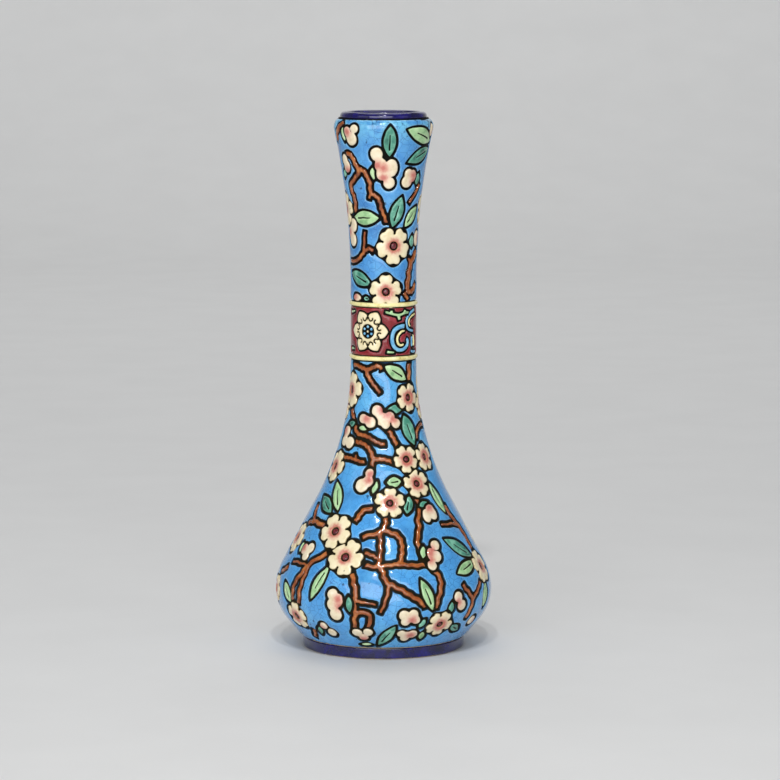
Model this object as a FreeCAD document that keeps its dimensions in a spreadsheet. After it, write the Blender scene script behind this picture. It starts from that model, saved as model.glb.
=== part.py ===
import FreeCAD, Part
import Sketcher
import math
import os

# Enamelled bottle vase: one slip-cast faience body carrying a thin dark print of outlines,
# enamel cells that fill the outlines, two raised beads round the neck, and glazed foot, lip,
# base and inside.  Millimetres, +Z up, origin at the centre of the face it stands on.

Vector = FreeCAD.Vector
Vector2 = FreeCAD.Base.Vector2d

# ---------------------------------------------------------------- driving sizes

SIZES = [
    ("ground_level", 0.0, "the plane it stands on"),
    ("foot_radius", 36.5, "outside of the glazed foot"),
    ("foot_glaze_bottom", 0.6, "bare clay below this height"),
    ("foot_glaze_top", 4.3, "top edge of the foot glaze"),
    ("foot_ring_radius", 32.5, "inner edge of the face it stands on"),
    ("base_recess", 3.0, "depth of the hollow under the base"),
    ("base_floor", 8.0, "height of the inside floor"),
    ("under_angle", 40.0, "lean of the wall above the foot, from vertical"),
    ("under_arc", 20.0, "radius of the lower belly curve"),
    ("belly_radius", 48.6, "widest radius"),
    ("belly_height", 26.0, "height of the widest radius"),
    ("belly_arc", 26.0, "radius of the upper belly curve"),
    ("shoulder_angle", 28.0, "lean of the shoulder, from vertical"),
    ("shoulder_arc", 130.0, "radius of the hollow curve into the neck"),
    ("neck_radius", 14.8, "outside of the neck"),
    ("flare_start", 165.0, "height where the neck begins to open"),
    ("flare_arc", 315.0, "radius of the opening curve"),
    ("cheek_arc", 5.5, "radius of the turn under the lip"),
    ("cheek_height", 233.3, "height of the centre of that turn"),
    ("cheek_top", 237.2, "where the turn meets the lip"),
    ("lip_centre", 17.3, "radius of the middle of the rolled lip"),
    ("lip_height", 238.0, "height of the middle of the rolled lip"),
    ("lip_roll", 2.0, "radius of the rolled lip over its glaze"),
    ("enamel", 0.7, "thickness of the enamel"),
    ("outline_film", 0.15, "thickness of the printed outlines"),
    ("glaze", 0.7, "thickness of the lip and foot glaze"),
    ("wall", 4.2, "wall thickness, enamel included"),
    ("inside_glaze", 0.3, "thickness of the glaze inside"),
    ("inside_turn", 226.0, "height where the inside wall turns in to the lip"),
    ("body_enamel_bottom", 5.2, "lower edge of the enamel"),
    ("lower_bead_height", 131.1, "middle of the lower bead"),
    ("upper_bead_height", 155.0, "middle of the upper bead"),
    ("bead_width", 2.0, "width of a bead"),
    ("bead_proud", 0.5, "how far a bead stands out of the enamel"),
    ("outline_width", 0.9, "width of a dark outline"),
]

doc = FreeCAD.newDocument("enamelled_vase")
sheet = doc.addObject("Spreadsheet::Sheet", "Sizes")
for row, (alias, number, note) in enumerate(SIZES, 1):
    sheet.set(f"A{row}", alias)
    sheet.set(f"B{row}", str(number))
    sheet.set(f"C{row}", note)
    sheet.setAlias(f"B{row}", alias)
doc.recompute()


def size(alias):
    return float(sheet.get(alias))


# ---------------------------------------------------------------- the outside line of the vase

UNDER = math.radians(size("under_angle"))
SHOULDER = math.radians(size("shoulder_angle"))
FLARE = math.asin((size("cheek_height") - size("flare_start")) / (size("flare_arc") + size("cheek_arc")))


def meridian(depth):
    """Centres, radii and joints of the outside line, moved inwards by depth."""
    under_x = size("belly_radius") - size("under_arc")
    belly_x = size("belly_radius") - size("belly_arc")
    belly_z = size("belly_height")
    neck = size("neck_radius")
    top_x = belly_x + size("belly_arc") * math.cos(SHOULDER)
    top_z = belly_z + size("belly_arc") * math.sin(SHOULDER)
    hollow_x = neck + size("shoulder_arc") * (1 - math.cos(SHOULDER))
    hollow_z = top_z + (top_x - hollow_x) / math.tan(SHOULDER)
    flare_x = neck + size("flare_arc")
    reach = size("flare_arc") + size("cheek_arc")
    return {
        "under": (under_x, belly_z, size("under_arc") - depth),
        "belly": (belly_x, belly_z, size("belly_arc") - depth),
        "hollow": (neck + size("shoulder_arc"), hollow_z + size("shoulder_arc") * math.sin(SHOULDER),
                   size("shoulder_arc") + depth),
        "flare": (flare_x, size("flare_start"), size("flare_arc") + depth),
        "cheek": (flare_x - reach * math.cos(FLARE), size("cheek_height"), size("cheek_arc") - depth),
        "neck": neck - depth,
    }


def on_arc(arc, angle):
    return (arc[0] + arc[2] * math.cos(angle), arc[1] + arc[2] * math.sin(angle))


# ---------------------------------------------------------------- sketch helpers

START, END, CENTRE = 1, 2, 3
ROOT, HORIZONTAL_AXIS, VERTICAL_AXIS = -1, -1, -2


class Section:
    """A half section drawn on the XZ plane of a body and turned about the Z axis."""

    def __init__(self, name):
        self.body = doc.addObject("PartDesign::Body", name)
        self.body.Label = name
        plane = [item for item in self.body.Origin.OriginFeatures if item.Role == "XZ_Plane"][0]
        self.sketch = self.body.newObject("Sketcher::SketchObject", name + "_section")
        self.sketch.AttachmentSupport = [(plane, "")]
        self.sketch.MapMode = "FlatFace"
        self.bound = 0

    def line(self, start, end):
        return self.sketch.addGeometry(Part.LineSegment(Vector(*start, 0), Vector(*end, 0)), False)

    def arc(self, arc, first, last):
        circle = Part.Circle(Vector(arc[0], arc[1], 0), Vector(0, 0, 1), arc[2])
        return self.sketch.addGeometry(Part.ArcOfCircle(circle, first, last), False)

    def join(self, first, first_end, second, second_end):
        self.sketch.addConstraint(Sketcher.Constraint("Coincident", first, first_end, second, second_end))

    def smooth(self, first, first_end, second, second_end):
        self.sketch.addConstraint(Sketcher.Constraint("Tangent", first, first_end, second, second_end))

    def level(self, line):
        self.sketch.addConstraint(Sketcher.Constraint("Horizontal", line))

    def upright(self, line):
        self.sketch.addConstraint(Sketcher.Constraint("Vertical", line))

    def on_axis(self, geometry, end):
        self.sketch.addConstraint(Sketcher.Constraint("PointOnObject", geometry, end, VERTICAL_AXIS))

    def bind(self, constraint, expression):
        self.bound += 1
        name = f"size_{self.bound}"
        index = self.sketch.addConstraint(constraint)
        self.sketch.renameConstraint(index, name)
        self.sketch.setExpression(f"Constraints.{name}", expression)

    def radius(self, arc, value, expression):
        self.bind(Sketcher.Constraint("Radius", arc, value), expression)

    def out(self, geometry, end, value, expression):
        self.bind(Sketcher.Constraint("DistanceX", ROOT, START, geometry, end, value), expression)

    def up(self, geometry, end, value, expression):
        self.bind(Sketcher.Constraint("DistanceY", ROOT, START, geometry, end, value), expression)

    def lean(self, line, value, expression):
        self.bind(Sketcher.Constraint("Angle", line, value), expression)

    def turn(self):
        feature = self.body.newObject("PartDesign::Revolution", self.body.Name + "_turned")
        feature.Profile = self.sketch
        feature.ReferenceAxis = (self.sketch, ["V_Axis"])
        feature.Angle = 360.0
        self.sketch.Visibility = False
        return self.body


def draw_wall(section, depth, depth_text, bottom, bottom_text, top, top_text, upto):
    """Draw the outside line moved inwards by depth, from a low height to a high one.

    upto names the highest stretch: "neck", "flare" or "cheek".  A bottom above the shoulder
    starts on the neck, and one with no text is left for the caller to join.
    Returns the first and last pieces as (geometry, end)."""
    line = meridian(depth)
    neck_x = line["neck"]
    chain = []
    if bottom < line["belly"][1]:
        corner = on_arc(line["under"], -UNDER)
        foot = (corner[0] - (corner[1] - bottom) * math.tan(UNDER), bottom)
        lean = section.line(foot, corner)
        under = section.arc(line["under"], -UNDER, 0.0)
        belly = section.arc(line["belly"], 0.0, SHOULDER)
        crest = on_arc(line["belly"], SHOULDER)
        dip = on_arc(line["hollow"], math.pi + SHOULDER)
        slope = section.line(crest, dip)
        hollow = section.arc(line["hollow"], math.pi, math.pi + SHOULDER)
        low_neck = line["hollow"][1]
    else:
        low_neck = bottom
    high_neck = top if upto == "neck" else line["flare"][1]
    neck = section.line((neck_x, low_neck), (neck_x, high_neck))
    section.upright(neck)
    section.out(neck, START, neck_x, f"Sizes.neck_radius - ({depth_text})")
    if bottom < line["belly"][1]:
        section.smooth(lean, END, under, START)
        section.smooth(under, END, belly, START)
        section.smooth(belly, END, slope, START)
        section.smooth(slope, END, hollow, END)
        section.smooth(hollow, START, neck, START)
        section.radius(under, line["under"][2], f"Sizes.under_arc - ({depth_text})")
        section.radius(belly, line["belly"][2], f"Sizes.belly_arc - ({depth_text})")
        section.radius(hollow, line["hollow"][2], f"Sizes.shoulder_arc + ({depth_text})")
        section.out(under, CENTRE, line["under"][0], "Sizes.belly_radius - Sizes.under_arc")
        section.up(under, CENTRE, line["under"][1], "Sizes.belly_height")
        section.up(belly, CENTRE, line["belly"][1], "Sizes.belly_height")
        section.lean(lean, math.pi / 2 - UNDER, "90 - Sizes.under_angle")
        section.lean(slope, math.pi / 2 + SHOULDER, "90 + Sizes.shoulder_angle")
        if bottom_text:
            section.up(lean, START, bottom, bottom_text)
        first = (lean, START)
    else:
        if bottom_text:
            section.up(neck, START, bottom, bottom_text)
        first = (neck, START)
    if upto == "neck":
        if top_text:
            section.up(neck, END, top, top_text)
        return first, (neck, END)
    if upto == "flare":
        stop = math.pi - math.asin((top - line["flare"][1]) / line["flare"][2])
    else:
        stop = math.pi - FLARE
    flare = section.arc(line["flare"], stop, math.pi)
    section.smooth(neck, END, flare, END)
    section.radius(flare, line["flare"][2], f"Sizes.flare_arc + ({depth_text})")
    section.up(flare, CENTRE, line["flare"][1], "Sizes.flare_start")
    if upto == "flare":
        if top_text:
            section.up(flare, START, top, top_text)
        return first, (flare, START)
    stop = math.asin((top - line["cheek"][1]) / line["cheek"][2])
    cheek = section.arc(line["cheek"], -FLARE, stop)
    section.smooth(flare, START, cheek, START)
    section.radius(cheek, line["cheek"][2], f"Sizes.cheek_arc - ({depth_text})")
    section.up(cheek, CENTRE, line["cheek"][1], "Sizes.cheek_height")
    if top_text:
        section.up(cheek, END, top, top_text)
    return first, (cheek, END)


def point(section, place):
    return tuple(section.sketch.getPoint(*place))[:2]


def link(section, start, end):
    """A straight line between two ends that are already drawn."""
    line = section.line(point(section, start), point(section, end))
    section.join(start[0], start[1], line, START)
    section.join(end[0], end[1], line, END)
    return line


# ---------------------------------------------------------------- turned pieces

ENAMEL = "Sizes.enamel"
SKIN = "Sizes.enamel + Sizes.outline_film"
WALL = "Sizes.wall"
LINING = "Sizes.wall + Sizes.inside_glaze"
enamel = size("enamel")
skin = size("enamel") + size("outline_film")
wall = size("wall")
lining = size("wall") + size("inside_glaze")
neck = size("neck_radius")
foot_r = size("foot_radius") - size("glaze")
lip = (size("lip_centre"), size("lip_height"))
LIP_START = math.radians(-30)
LIP_END = math.radians(205)


def foot_join():
    """Height where the clay wall rises out of the upright foot."""
    corner = on_arc(meridian(skin)["under"], -UNDER)
    return corner[1] - (corner[0] - foot_r) / math.tan(UNDER)


def lip_arc(section, radius, text, first, last):
    roll = section.arc((lip[0], lip[1], radius), first, last)
    section.radius(roll, radius, text)
    section.out(roll, CENTRE, lip[0], "Sizes.lip_centre")
    section.up(roll, CENTRE, lip[1], "Sizes.lip_height")
    return roll


def make_body():
    """The clay body: foot ring, hollow base, wall and rolled lip in one casting."""
    s = Section("faience_body")
    low, high = draw_wall(s, skin, SKIN, foot_join(), None, size("cheek_top"), "Sizes.cheek_top", "cheek")
    foot = s.line((foot_r, 0), (foot_r, foot_join()))
    s.upright(foot)
    s.join(foot, END, low[0], low[1])
    s.out(foot, START, foot_r, "Sizes.foot_radius - Sizes.glaze")
    s.up(foot, START, 0, "Sizes.ground_level")
    clay = size("lip_roll") - size("glaze")
    roll = lip_arc(s, clay, "Sizes.lip_roll - Sizes.glaze", LIP_START, LIP_END)
    top = link(s, high, (roll, START))
    s.up(top, END, lip[1] + clay * math.sin(LIP_START),
         "Sizes.lip_height - (Sizes.lip_roll - Sizes.glaze) / 2")
    inner_low, inner_high = draw_wall(s, wall, WALL, size("base_floor"), "Sizes.base_floor",
                                      size("inside_turn"), "Sizes.inside_turn", "flare")
    mouth = link(s, (roll, END), inner_high)
    s.up(mouth, START, lip[1] + clay * math.sin(LIP_END),
         "Sizes.lip_height - (Sizes.lip_roll - Sizes.glaze) * sin(25 deg)")
    corner = point(s, inner_low)
    floor = s.line(corner, (0, corner[1]))
    s.join(floor, START, inner_low[0], inner_low[1])
    s.level(floor)
    s.on_axis(floor, END)
    axis = s.line((0, corner[1]), (0, size("base_recess")))
    s.join(floor, END, axis, START)
    s.on_axis(axis, END)
    recess = s.line((0, size("base_recess")), (size("foot_ring_radius") - 1, size("base_recess")))
    s.join(axis, END, recess, START)
    s.level(recess)
    s.up(recess, END, size("base_recess"), "Sizes.base_recess")
    s.out(recess, END, size("foot_ring_radius") - 1, "Sizes.foot_ring_radius - 1")
    ring_side = s.line((size("foot_ring_radius") - 1, size("base_recess")), (size("foot_ring_radius"), 0))
    s.join(recess, END, ring_side, START)
    s.out(ring_side, END, size("foot_ring_radius"), "Sizes.foot_ring_radius")
    stand = s.line((size("foot_ring_radius"), 0), (foot_r, 0))
    s.join(ring_side, END, stand, START)
    s.join(stand, END, foot, START)
    s.level(stand)
    return s.turn()


def make_skin(name, outer, outer_text, inner, inner_text, bottom, bottom_text, top, top_text, upto):
    """A layer that follows the wall between two depths."""
    s = Section(name)
    out_low, out_high = draw_wall(s, outer, outer_text, bottom, bottom_text, top, top_text, upto)
    in_low, in_high = draw_wall(s, inner, inner_text, bottom, None, top, None, upto)
    lower = link(s, out_low, in_low)
    upper = link(s, out_high, in_high)
    s.level(lower)
    s.level(upper)
    return s.turn()


def make_lining():
    """The clear glaze inside: wall, floor and the turn up to the lip."""
    s = Section("interior_glaze")
    floor_z = size("base_floor")
    out_low, out_high = draw_wall(s, wall, WALL, floor_z, "Sizes.base_floor",
                                  size("inside_turn"), "Sizes.inside_turn", "flare")
    thick = size("inside_glaze")
    in_low, in_high = draw_wall(s, lining, LINING, floor_z + thick, "Sizes.base_floor + Sizes.inside_glaze",
                                size("inside_turn"), "Sizes.inside_turn", "flare")
    upper = link(s, out_high, in_high)
    outer_corner = point(s, out_low)
    inner_corner = point(s, in_low)
    under = s.line(outer_corner, (0, outer_corner[1]))
    s.join(under, START, out_low[0], out_low[1])
    s.level(under)
    s.on_axis(under, END)
    over = s.line((0, inner_corner[1]), inner_corner)
    s.join(over, END, in_low[0], in_low[1])
    s.level(over)
    s.on_axis(over, START)
    axis = s.line((0, outer_corner[1]), (0, inner_corner[1]))
    s.join(under, END, axis, START)
    s.join(axis, END, over, START)
    return s.turn()


def make_lip():
    """The cobalt glaze that wraps the rolled lip."""
    s = Section("lip_glaze")
    outer = lip_arc(s, size("lip_roll"), "Sizes.lip_roll", LIP_START, LIP_END)
    clay = size("lip_roll") - size("glaze")
    inner = lip_arc(s, clay, "Sizes.lip_roll - Sizes.glaze", LIP_START, LIP_END)
    lower = link(s, (outer, START), (inner, START))
    mouth = link(s, (outer, END), (inner, END))
    s.lean(lower, math.pi + LIP_START, "150")
    s.lean(mouth, LIP_END - math.pi, "25")
    for side in (lower, mouth):
        s.sketch.addConstraint(Sketcher.Constraint("PointOnObject", outer, CENTRE, side))
    return s.turn()


def make_ring(name, corners):
    """A ring of straight-sided section; each corner is ((x, text), (z, text))."""
    s = Section(name)
    points = [(x[0], z[0]) for x, z in corners]
    count = len(points)
    lines = [s.line(points[i], points[(i + 1) % count]) for i in range(count)]
    for i, (x, z) in enumerate(corners):
        s.join(lines[i - 1], END, lines[i], START)
        s.out(lines[i], START, x[0], x[1])
        s.up(lines[i], START, z[0], z[1])
    return s.turn()


def make_bead(name, height_alias):
    """A raised bead round the neck: flat against the print, rounded outside."""
    s = Section(name)
    middle = size(height_alias)
    half = size("bead_width") / 2
    back = neck - enamel
    face = neck + size("bead_proud")
    front = s.arc((face - half, middle, half), -math.pi / 2, math.pi / 2)
    s.radius(front, half, "Sizes.bead_width / 2")
    s.out(front, CENTRE, face - half, "Sizes.neck_radius + Sizes.bead_proud - Sizes.bead_width / 2")
    s.up(front, CENTRE, middle, f"Sizes.{height_alias}")
    top = s.line((face - half, middle + half), (back, middle + half))
    behind = s.line((back, middle + half), (back, middle - half))
    bottom = s.line((back, middle - half), (face - half, middle - half))
    s.smooth(front, END, top, START)
    s.join(top, END, behind, START)
    s.join(behind, END, bottom, START)
    s.smooth(bottom, END, front, START)
    s.level(top)
    s.level(bottom)
    s.upright(behind)
    s.out(behind, START, back, "Sizes.neck_radius - Sizes.enamel")
    return s.turn()


make_body()
make_skin("outline_print", enamel, ENAMEL, skin, SKIN, size("body_enamel_bottom") - 0.3,
          "Sizes.body_enamel_bottom - 0.3", size("cheek_top"), "Sizes.cheek_top", "cheek")
make_lining()
make_lip()
foot_out = (size("foot_radius"), "Sizes.foot_radius")
foot_in = (foot_r, "Sizes.foot_radius - Sizes.glaze")
foot_low = (size("foot_glaze_bottom"), "Sizes.foot_glaze_bottom")
foot_high = (size("foot_glaze_top"), "Sizes.foot_glaze_top")
make_ring("foot_glaze", [(foot_in, foot_low), (foot_out, foot_low),
                         (foot_out, foot_high), (foot_in, foot_high)])
centre = (0.0, "Sizes.ground_level")
rim_in = (size("foot_ring_radius") - 1.2, "Sizes.foot_ring_radius - 1.2")
roof = (size("base_recess"), "Sizes.base_recess")
under_roof = (size("base_recess") - 0.4, "Sizes.base_recess - 0.4")
make_ring("base_glaze", [(centre, under_roof), (rim_in, under_roof), (rim_in, roof), (centre, roof)])
make_bead("lower_bead", "lower_bead_height")
make_bead("upper_bead", "upper_bead_height")
doc.recompute()

# ---------------------------------------------------------------- the enamelled surface, unrolled

# The enamel is drawn on an unrolled sheet: across is the angle from the front times SHEET_SCALE,
# up is the distance along the wall from the lower edge.  Every outline is then wrapped on to a
# surface of revolution at each depth, so that the sides of a cell stand square to the wall.

SHEET_SCALE = 20.0
HALF_TURN = math.pi * SHEET_SCALE


def wall_stations():
    """Points of the outside line with their outward directions, from the foot to the lip."""
    line = meridian(0.0)
    low = size("body_enamel_bottom")
    corner = on_arc(line["under"], -UNDER)
    stations = []

    def straight(first, last, count):
        length = math.dist(first, last)
        normal = ((last[1] - first[1]) / length, (first[0] - last[0]) / length)
        for i in range(count):
            f = i / count
            place = (first[0] + (last[0] - first[0]) * f, first[1] + (last[1] - first[1]) * f)
            stations.append((place, normal))

    def bend(arc, first, last, count, side):
        for i in range(count):
            angle = first + (last - first) * i / count
            stations.append((on_arc(arc, angle), (side * math.cos(angle), side * math.sin(angle))))

    foot = (corner[0] - (corner[1] - low) * math.tan(UNDER), low)
    straight(foot, corner, 4)
    bend(line["under"], -UNDER, 0.0, 8, 1)
    bend(line["belly"], 0.0, SHOULDER, 8, 1)
    straight(on_arc(line["belly"], SHOULDER), on_arc(line["hollow"], math.pi + SHOULDER), 6)
    bend(line["hollow"], math.pi + SHOULDER, math.pi, 16, -1)
    straight((line["neck"], line["hollow"][1]), (line["neck"], line["flare"][1]), 8)
    bend(line["flare"], math.pi, math.pi - FLARE, 14, -1)
    stop = math.asin((size("cheek_top") - line["cheek"][1]) / line["cheek"][2])
    bend(line["cheek"], -FLARE, stop, 8, 1)
    stations.append((on_arc(line["cheek"], stop), (math.cos(stop), math.sin(stop))))
    return stations


STATIONS = wall_stations()
RUN = [0.0]
for before, after in zip(STATIONS, STATIONS[1:]):
    RUN.append(RUN[-1] + math.dist(before[0], after[0]))


def wall_surface(depth):
    """Surface of revolution at a depth; its second parameter is the distance along the wall."""
    curve = Part.BSplineCurve()
    places = [Vector(p[0] - depth * n[0], 0, p[1] - depth * n[1]) for p, n in STATIONS]
    curve.interpolate(Points=places, Parameters=RUN)
    return Part.SurfaceOfRevolution(curve, Vector(0, 0, 0), Vector(0, 0, 1))


def run_at(height):
    """Distance along the wall at a height."""
    for i in range(len(STATIONS) - 1):
        low = STATIONS[i][0][1]
        high = STATIONS[i + 1][0][1]
        if low <= height <= high:
            return RUN[i] + (RUN[i + 1] - RUN[i]) * (height - low) / (high - low)
    return RUN[-1]


def height_at(run):
    """Height of a place from its distance along the wall."""
    for i in range(len(RUN) - 1):
        if RUN[i] <= run <= RUN[i + 1]:
            f = (run - RUN[i]) / (RUN[i + 1] - RUN[i])
            return STATIONS[i][0][1] + (STATIONS[i + 1][0][1] - STATIONS[i][0][1]) * f
    return STATIONS[-1][0][1]


def radius_at(run):
    """Outside radius at a distance along the wall."""
    run = min(max(run, 0.0), RUN[-1] - 1e-6)
    for i in range(len(RUN) - 1):
        if RUN[i] <= run <= RUN[i + 1]:
            f = (run - RUN[i]) / (RUN[i + 1] - RUN[i])
            return STATIONS[i][0][0] + (STATIONS[i + 1][0][0] - STATIONS[i][0][0]) * f
    return STATIONS[-1][0][0]


def on_sheet(angle, height, across=0.0, up=0.0):
    """Sheet position of a true-size offset from a place given by angle in degrees and height."""
    run = run_at(height) + up
    return Vector(SHEET_SCALE * (math.radians(angle) + across / radius_at(run)), run, 0)


def flat_face(curves):
    """Planar face inside a chain of curves, each through a list of sheet points."""
    edges = []
    for points in curves:
        if len(points) == 2:
            edges.append(Part.LineSegment(points[0], points[1]).toShape())
        else:
            curve = Part.BSplineCurve()
            curve.interpolate(Points=points)
            edges.append(curve.toShape())
    return Part.Face(Part.Wire(edges))


def closed_face(points):
    """Planar face inside one smooth closed curve."""
    curve = Part.BSplineCurve()
    curve.interpolate(Points=points, PeriodicFlag=True)
    return Part.Face(Part.Wire([curve.toShape()]))


# ---------------------------------------------------------------- motif outlines

LINE_HALF = size("outline_width") / 2
CLEAR = size("outline_width")


def blossom(angle, height, radius, first):
    """Five notched petals joined at the heart, with slits between them and a hole in the middle."""
    curves = []
    root = 0.6 * radius
    for petal in range(5):
        middle = math.radians(first + 72 * petal)
        rounded = []
        for i in range(9):
            f = -1 + i / 4
            reach = radius * (0.74 + 0.26 * (1 - abs(f) ** 3.6))
            reach = reach * (1 - 0.09 * math.exp(-((f / 0.25) ** 2)))
            turn = middle + f * (math.radians(36) - math.asin(LINE_HALF / reach))
            rounded.append((reach, turn))
        open_turn = math.radians(36) - math.asin(LINE_HALF / root)
        low = (root, middle - open_turn)
        high = (root, middle + open_turn)
        following = (root, middle + 2 * math.radians(36) - open_turn)
        curves += [[low, rounded[0]], rounded, [rounded[-1], high], [high, following]]
    placed = [[on_sheet(angle, height, r * math.cos(t), r * math.sin(t)) for r, t in curve]
              for curve in curves]
    for i, curve in enumerate(placed):
        curve[-1] = placed[(i + 1) % len(placed)][0]
    return flat_face(placed).cut(disc(angle, height, heart_radius(radius)))


def heart_radius(radius):
    return max(1.6, 0.23 * radius)


def blossom_reach(angle, height, radius, first):
    """The wider outline that keeps other cells clear of a blossom."""
    points = []
    for i in range(40):
        turn = math.radians(9 * i)
        wave = 0.915 + 0.085 * math.cos(5 * (turn - math.radians(first)))
        reach = (radius + CLEAR) * wave
        points.append(on_sheet(angle, height, reach * math.cos(turn), reach * math.sin(turn)))
    return closed_face(points)


def disc(angle, height, radius, tall=1.0, grow=0.0):
    """Round or upright oval patch."""
    points = []
    for i in range(12):
        turn = math.radians(30 * i)
        points.append(on_sheet(angle, height, (radius + grow) * math.cos(turn),
                               (radius * tall + grow) * math.sin(turn)))
    return closed_face(points)


def pointed(angle, height, length, width, lean, grow=0.0):
    """Leaf with two points, its middle at the given place, leaning by an angle from across."""
    sides = ([], [])
    tilt = math.radians(lean)
    for i in range(9):
        f = i / 8
        along = (length / 2 + grow * 1.6) * (2 * f - 1)
        out = (width / 2 + grow) * math.sin(math.pi * f) ** 0.85
        for side, sign in zip(sides, (1, -1)):
            x = along * math.cos(tilt) - sign * out * math.sin(tilt)
            y = along * math.sin(tilt) + sign * out * math.cos(tilt)
            side.append(on_sheet(angle, height, x, y))
    return flat_face([sides[0], sides[1][::-1]])


def leaf_frame(base, tip):
    """Middle, length and lean of a leaf from its base and tip."""
    middle = ((base[0] + tip[0]) / 2, (base[1] + tip[1]) / 2)
    radius = radius_at(run_at(middle[1]))
    across = math.radians(tip[0] - base[0]) * radius
    up = run_at(tip[1]) - run_at(base[1])
    return middle, math.hypot(across, up), math.degrees(math.atan2(up, across))


def leaf(base, tip, width, grow=0.0):
    """Leaf from base to tip, with the dark slit of its midrib."""
    middle, length, lean = leaf_frame(base, tip)
    blade = pointed(middle[0], middle[1], length, width, lean, grow)
    if grow:
        return blade
    tilt = math.radians(lean)
    corners = []
    for along, out in ((-0.30, -0.28), (0.20, -0.10), (0.20, 0.10), (-0.30, 0.28)):
        x = along * length * math.cos(tilt) - out * math.sin(tilt)
        y = along * length * math.sin(tilt) + out * math.cos(tilt)
        corners.append(on_sheet(middle[0], middle[1], x, y))
    rib = Part.Face(Part.makePolygon(corners + corners[:1]))
    return blade.cut(rib)


def merge(patches):
    """One outline round patches that overlap."""
    box = Part.makeCompound(patches).BoundBox
    low = Vector(box.XMin - 1, box.YMin - 1, 0)
    plate = Part.makePlane(box.XLength + 2, box.YLength + 2, low)
    return plate.cut(plate.cut(patches))


def branch(wide, narrow, places, grow=0.0, knots=0.0):
    """Twig that follows places and tapers, with blunt ends; knots is how far its bark swells.

    Where a bend is tighter than half the width, it is built up from short lengths instead."""
    path = [on_sheet(angle, height) for angle, height in places]
    if len(path) > 2:
        curve = Part.BSplineCurve()
        curve.interpolate(Points=path)
    else:
        straight = Part.LineSegment(path[0], path[1]).toShape()
        curve = straight.Curve.toBSpline(0, path[0].distanceToPoint(path[1]))
    first = curve.FirstParameter
    last = curve.LastParameter
    count = 3 * len(path)
    sides = ([], [])
    rounds = []
    for i in range(count + 1):
        f = i / count
        place = curve.value(first + (last - first) * f)
        stretch = SHEET_SCALE / radius_at(place.y)
        ahead = curve.tangent(first + (last - first) * f)[0]
        true = Vector(ahead.x / stretch, ahead.y, 0)
        true.normalize()
        width = wide + (narrow - wide) * f
        half = width / 2 + grow
        if i in (0, count):
            shift = grow * (-1 if i == 0 else 1)
            place = place + Vector(true.x * shift * stretch, true.y * shift, 0)
        for side, sign in zip(sides, (1, -1)):
            reach = half + knots * width * math.sin(1.9 * i + 0.7 * place.x + 1.7 * sign)
            side.append(place + Vector(-true.y * reach * sign * stretch, true.x * reach * sign, 0))
        rounds.append((place, half, stretch))
    left, right = sides
    flat = flat_face([left, [left[-1], right[-1]], right[::-1], [right[0], left[0]]])
    if flat.isValid():
        return flat
    return merge([Part.Face(Part.makePolygon([left[i], left[i + 1], right[i + 1], right[i], left[i]]))
                  for i in range(count)] + [oval(*each) for each in rounds[1:-1]])


def oval(place, half, stretch):
    """Round patch of a true radius at a place on the sheet."""
    turns = [math.radians(45 * i) for i in range(8)]
    return closed_face([place + Vector(half * math.cos(t) * stretch, half * math.sin(t), 0) for t in turns])


# ---------------------------------------------------------------- where the motifs lie

# The decoration is printed twice round the vase.  Angles are in degrees from the front, to the
# right; heights in mm.  Blossom: angle, height, radius, direction of the first petal.
BLOSSOMS = [
    (18, 181.2, 8.5, 52), (4, 160.9, 7.9, 90), (-84, 197, 7.5, 80),
    (46, 113.5, 6.6, 63), (-70, 116.5, 8.0, 80), (88, 109, 6.5, 90),
    (28.5, 87, 6.4, 118), (36, 76.5, 6.9, 100), (59.5, 87, 6.5, 90),
    (5.5, 69, 7.2, 85), (-37, 56.3, 8.4, 124), (-24.5, 46.3, 8.8, 62), (-70, 82.5, 7.5, 72),
    (74, 38, 8.0, 90), (-80, 50, 7.5, 70), (33, 16, 7.0, 60), (-56, 17.5, 7.0, 85), (-82, 27, 6.5, 60),
]

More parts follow.
